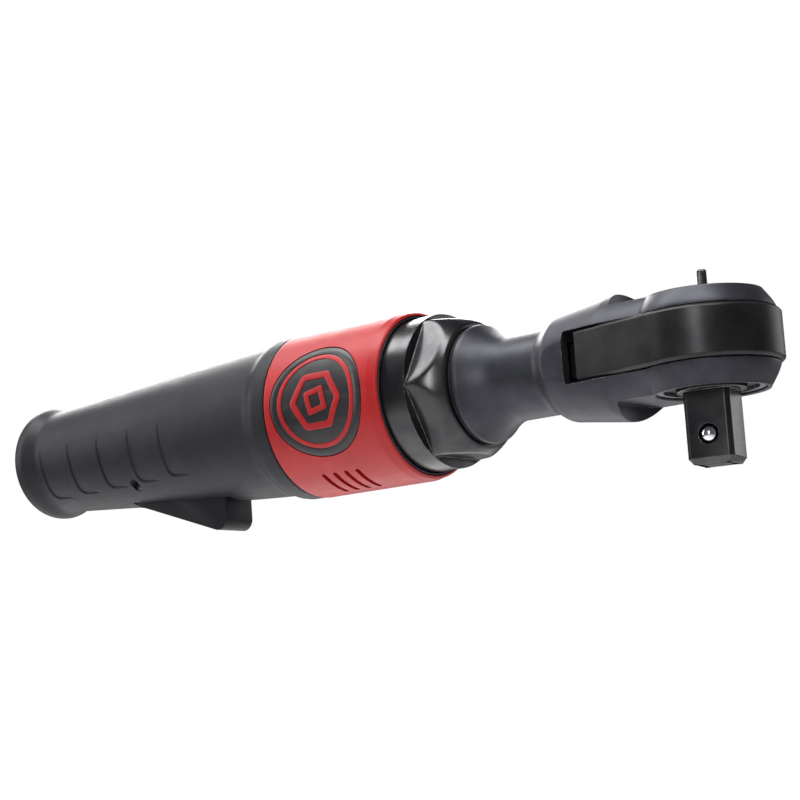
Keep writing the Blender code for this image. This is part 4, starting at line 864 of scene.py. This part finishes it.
def make_yoke():
    x_step, half_back = -32.4, 14.6
    made = plate(
        "ratchet_yoke_arm",
        lambda inset: head_outline(YOKE_RADIUS, x_step, half_back, inset, steps=200),
        chamfered_rim(-6.5, 7.5, 0.8, 0.8, 0.7),
    )
    tail = block("tail", (-44.3, -9.6, -4.8), (-28.5, 9.6, 4.8))
    tail = applied(tail, "BEVEL", width=0.4 * MM, segments=3, limit_method="ANGLE")
    joined(made, tail)
    fork = block("fork", (-46, -7.0, -6), (-34.9, 7.0, 6))
    count, tip_radius, root_radius = 72, 13.4, 14.2
    teeth = []
    for i in range(count):
        tip, root = 2 * pi * i / count, 2 * pi * i / count + pi / count
        teeth.append((tip_radius * cos(tip), tip_radius * sin(tip)))
        teeth.append((root_radius * cos(root), root_radius * sin(root)))
    toothed = plate("teeth", lambda inset: teeth, [(0, -8), (0, 9)])
    carve(made, fork, toothed)
    show(made, "yoke", YOKE, ["ratchet_yoke"])


def make_retaining_ring():
    """The internal circlip that closes the lower ear, with its two plier lugs."""
    outer, inner, lug = 14.95, 12.75, 11.15
    opening, lug_end = radians(7), radians(18)
    half = [(a, b, 0.0) for a, b in arc(outer, pi, opening, 90)]
    half[-1] = (*half[-1][:2], 0.3)
    half += [(lug * cos(a), lug * sin(a), 0.7) for a in (opening, lug_end)]
    curve = arc(inner, lug_end, pi, 80)
    half += [(*curve[0], 0.35)] + [(a, b, 0.0) for a, b in curve[1:]]
    lower = [(a, -b, radius) for a, b, radius in reversed(half)]
    outline = filleted(half[:-1] + lower[:-1], steps=5)
    made = plate("drive_circlip", lambda inset: outline, [(0, -12.4), (0, -11.7)])
    middle, reach = (opening + lug_end) / 2, (lug + inner) / 2
    for side in (-1, 1):
        x, y = reach * cos(middle), side * reach * sin(middle)
        carve(made, rod("hole", (x, y, -14), (x, y, -11), 0.7, 32))
    turned_z(made, radians(-118))
    show(made, "tool_body", SPRING, ["drive_retaining_ring"])


def square_outline(half, corner, inset):
    """A square with its corners cut off flat and slightly rounded."""
    x = half - inset
    points = []
    for quarter in range(4):
        a = quarter * pi / 2
        for y in (corner - half, half - corner):
            points.append((x * cos(a) - y * sin(a), x * sin(a) + y * cos(a), 0.35))
    return filleted(points, steps=4)


def make_anvil():
    outline = [
        (0.3, -12.9, 0),
        (9.4, -12.9, 0.35),
        (9.4, -11.55, 0.2),
        (DRUM, -11.55, 0.2),
        (DRUM, 6.6, 0.2),
        (TOP_JOURNAL, 6.6, 0.1),
        (TOP_JOURNAL, 11.4, 0.3),
        (0.3, 11.4, 0),
    ]
    made = lathe_z("square_drive", filleted(outline, closed=False), 192, solid_core=True)
    side = [(3, -LIFT, 0), (1.5, -LIFT, 0.3), (0, 1.5 - LIFT, 0.3), (0, -12, 0)]
    side = filleted(side, steps=4, closed=False)
    square = plate("square", lambda inset: square_outline(SQUARE_HALF, 1.1, inset), side)
    made = joined(made, square)
    hole = rod("ball_hole", (0, 0.4, BALL_Z), (0, -8, BALL_Z), 2.65, 64)
    lip = stack_y("ball_lip", [(-6.6, 3.1), (-6.1, 2.6)], 64, z=BALL_Z)
    pocket = block("pocket", (0, -7.8, -4.4), (20, 7.8, 4.6))
    pin_hole = rod("pin_hole", (9.8, 0, -5.7), (9.8, 0, 5.5), 1.5, 32)
    stem = rod("stem_bore", (0, 0, -4.4), (0, 0, 20), 3.3, 48)
    carve(made, hole, lip, pocket, pin_hole, stem)
    turned_z(made, DRIVE_TURN)
    show(made, "anvil", NUT, ["ratchet_anvil"])


def make_ball():
    polar = [pi * k / 48 for k in range(1, 48)]
    rows = [(BALL_OUT - BALL_RADIUS * cos(a), BALL_RADIUS * sin(a)) for a in polar]
    made = stack_y("detent_ball_polished", rows, 96, z=BALL_Z)
    turned_z(made, DRIVE_TURN)
    show(made, "ball", CHROME, ["detent_ball"])


def make_knob():
    outline = [
        (0.3, -4.1, 0),
        (3.0, -4.1, 0.2),
        (3.0, 11.7, 0.1),
        (8.0, 11.7, 0.2),
        (8.0, 14.1, 0.7),
        (0.3, 14.1, 0),
    ]
    made = lathe_z("reversing_knob", filleted(outline, closed=False), 128, solid_core=True)

    def edge(inset):
        x, y = 6.5 - inset, 1.35 - inset
        return filleted([(x, y, 0.7), (-x, y, 0.7), (-x, -y, 0.7), (x, -y, 0.7)], steps=5)

    tab = plate("tab", edge, [(0, 13.2), (0, 18.25), (0.1, 18.55), (0.3, 18.77), (0.6, 18.85)])
    turned_z(tab, THUMB_TURN)
    made = joined(made, tab)
    well = rod("well", (-1.9, 0, 0.1), (4, 0, 0.1), 1.3, 32)
    carve(made, well)
    turned_z(made, DRIVE_TURN + KNOB_TURN)
    show(made, "knob", NUT, ["reverse_knob"])


# ---------------------------------------------------------------- throttle and inlet


def make_lever():
    """The lever's side view, about its pin, drawn out across the grip."""
    corner, drop, length = 3.5, 17.3, 30.0
    slope = atan2(drop - 6.4, length + 2)
    nose = (length - corner, -drop + corner + 0.6)
    points = [(-4.2, -6.4)] + arc(corner, -pi / 2 - slope, 0, 16, nose)
    points += [(length, -3.2), (length - 1, -2.2), (18, 1.2), (14, 2.2)]
    points += arc(3.6, radians(60), radians(180), 20)
    points += [(-7.5, -1.5), (-7.5, -4.6), (-6.3, -6.0)]
    loops = [[(PIN_X + a, y, PIN_Z + b) for a, b in points] for y in (-6, 6)]
    made = solid("throttle_lever_pad", loops, capped(2, len(points)))
    hole = rod("hole", (PIN_X, -20, PIN_Z), (PIN_X, 20, PIN_Z), 1.65, 48)
    carve(made, hole)
    bevel = {"width": 0.55 * MM, "segments": 4, "limit_method": "ANGLE"}
    applied(made, "BEVEL", **bevel, angle_limit=radians(40))
    show(made, "lever", LEVER, ["throttle_lever"], crease=40)


def make_lever_pin():
    reach = sqrt(float(grip_radius(np.array(PIN_X))) ** 2 - PIN_Z**2) - 1.6
    end = [(reach, 1.1), (reach - 0.12, 1.38), (reach - 0.4, 1.5)]
    rows = [(-y, radius) for y, radius in end] + end[::-1]
    made = stack_y("lever_roll_pin", rows, 64, PIN_X, PIN_Z)
    show(made, "tool_body", SPRING, ["lever_pin"])


def make_inlet():
    """The inlet bushing: a chamfered hexagon with a threaded bore."""
    flat, corner_radius = 9.5, 10.86
    pitch, turns, crest, root = 1.4, 11, 5.72, 6.4
    made = rod("air_inlet_fitting", (-250.4, 0, 0), (-234.2, 0, 0), 8.6, 96)
    angles = np.linspace(0, 2 * pi, 240, endpoint=False)
    local = (angles + pi / 6) % (pi / 3) - pi / 6
    hexagon = np.minimum(flat / np.cos(local), corner_radius)
    rows = [(-251.1, 9.6), (-250.95, 9.95), (-250.5, 10.6)]
    rows += [(-250.2, 11.2), (-247.9, 11.2), (-247.5, 10.9)]
    loops = [
        about_x(np.full_like(angles, x), np.minimum(hexagon, limit), angles) for x, limit in rows
    ]
    made = joined(made, solid("hexagon", loops, capped(len(rows), len(angles))))
    thread = [(-251.6, 6.6)]
    for k in range(turns):
        x = -251.0 + k * pitch
        thread += [(x, crest), (x + 0.4, crest), (x + 0.85, root)]
    thread += [(-233.4, crest)]
    carve(made, lathe_x("thread", np.array(thread), 128, solid_core=True))
    show(made, "tool_body", STEEL, ["air_inlet_bushing"])


make_grip()
make_sleeve()
make_badge()
make_end_ring()
make_nut()
make_seal()
make_head()
make_yoke()
make_retaining_ring()
make_anvil()
make_ball()
make_knob()
make_lever()
make_lever_pin()
make_inlet()

# ---------------------------------------------------------------- studio


FLOOR_HALF, FLOOR_Z = 1.6, -0.32  # metres, as everything in the studio is


def area_light(name, at, aim, size, power):
    data = bpy.data.lights.new(name, "AREA")
    data.shape = "RECTANGLE"
    data.size, data.size_y = size
    data.energy = power
    light = bpy.data.objects.new(name, data)
    light.location = at
    light.rotation_euler = (Vector(aim) - Vector(at)).to_track_quat("-Z", "Y").to_euler()
    bpy.context.scene.collection.objects.link(light)


def make_studio():
    floor_mesh = bpy.data.meshes.new("floor")
    signs = ((-1, -1), (1, -1), (1, 1), (-1, 1))
    corners = [(a * FLOOR_HALF, b * FLOOR_HALF, FLOOR_Z) for a, b in signs]
    floor_mesh.from_pydata(corners, [], [(0, 1, 2, 3)])
    floor = bpy.data.objects.new("floor", floor_mesh)
    bpy.context.scene.collection.objects.link(floor)
    pale = bpy.data.materials.new("floor_paper")
    pale.use_nodes = True
    paper = pale.node_tree.nodes["Principled BSDF"].inputs
    paper["Base Color"].default_value = (0.85, 0.85, 0.85, 1)
    paper["Roughness"].default_value = 0.9
    floor_mesh.materials.append(pale)

    world = bpy.data.worlds.new("studio")
    world.use_nodes = True
    tree = world.node_tree
    seen = tree.nodes["Background"]
    seen.inputs["Color"].default_value = (1, 1, 1, 1)
    seen.inputs["Strength"].default_value = 1.0
    fill = tree.nodes.new("ShaderNodeBackground")
    fill.inputs["Color"].default_value = (0.88, 0.91, 1, 1)
    fill.inputs["Strength"].default_value = 0.13
    rays = tree.nodes.new("ShaderNodeLightPath")
    either = tree.nodes.new("ShaderNodeMixShader")
    tree.links.new(rays.outputs["Is Camera Ray"], either.inputs["Fac"])
    tree.links.new(fill.outputs["Background"], either.inputs[1])
    tree.links.new(seen.outputs["Background"], either.inputs[2])
    tree.links.new(either.outputs["Shader"], tree.nodes["World Output"].inputs["Surface"])
    bpy.context.scene.world = world

    centre = (-0.12, 0, 0.03)
    area_light("overhead", (-0.15, -0.2, 0.72), centre, (1.1, 0.3), 9)
    area_light("left", (-0.95, -0.35, 0.35), centre, (0.25, 0.7), 2.5)
    area_light("front", (0.25, -1.0, 0.3), (-0.03, 0, 0.03), (0.16, 0.6), 3.5)
    area_light("floor_wash", (-0.6, 0.5, 0.3), (-0.35, -0.05, -0.32), (0.5, 0.5), 8)
    area_light("rear", (0.25, 0.8, 0.2), (-0.03, 0, 0.03), (0.5, 0.5), 1.0)
    bpy.context.scene.view_settings.view_transform = "Standard"


def make_camera():
    data = bpy.data.cameras.new("camera")
    data.lens = 102.15
    data.sensor_width = 36
    data.clip_start, data.clip_end = 0.01, 50
    camera = bpy.data.objects.new("camera", data)
    camera.location = (0.29943, -0.5172, -0.06597)
    camera.rotation_euler = [radians(a) for a in (98.5603, 3.933, 38.5608)]
    bpy.context.scene.collection.objects.link(camera)
    bpy.context.scene.camera = camera


make_studio()
make_camera()
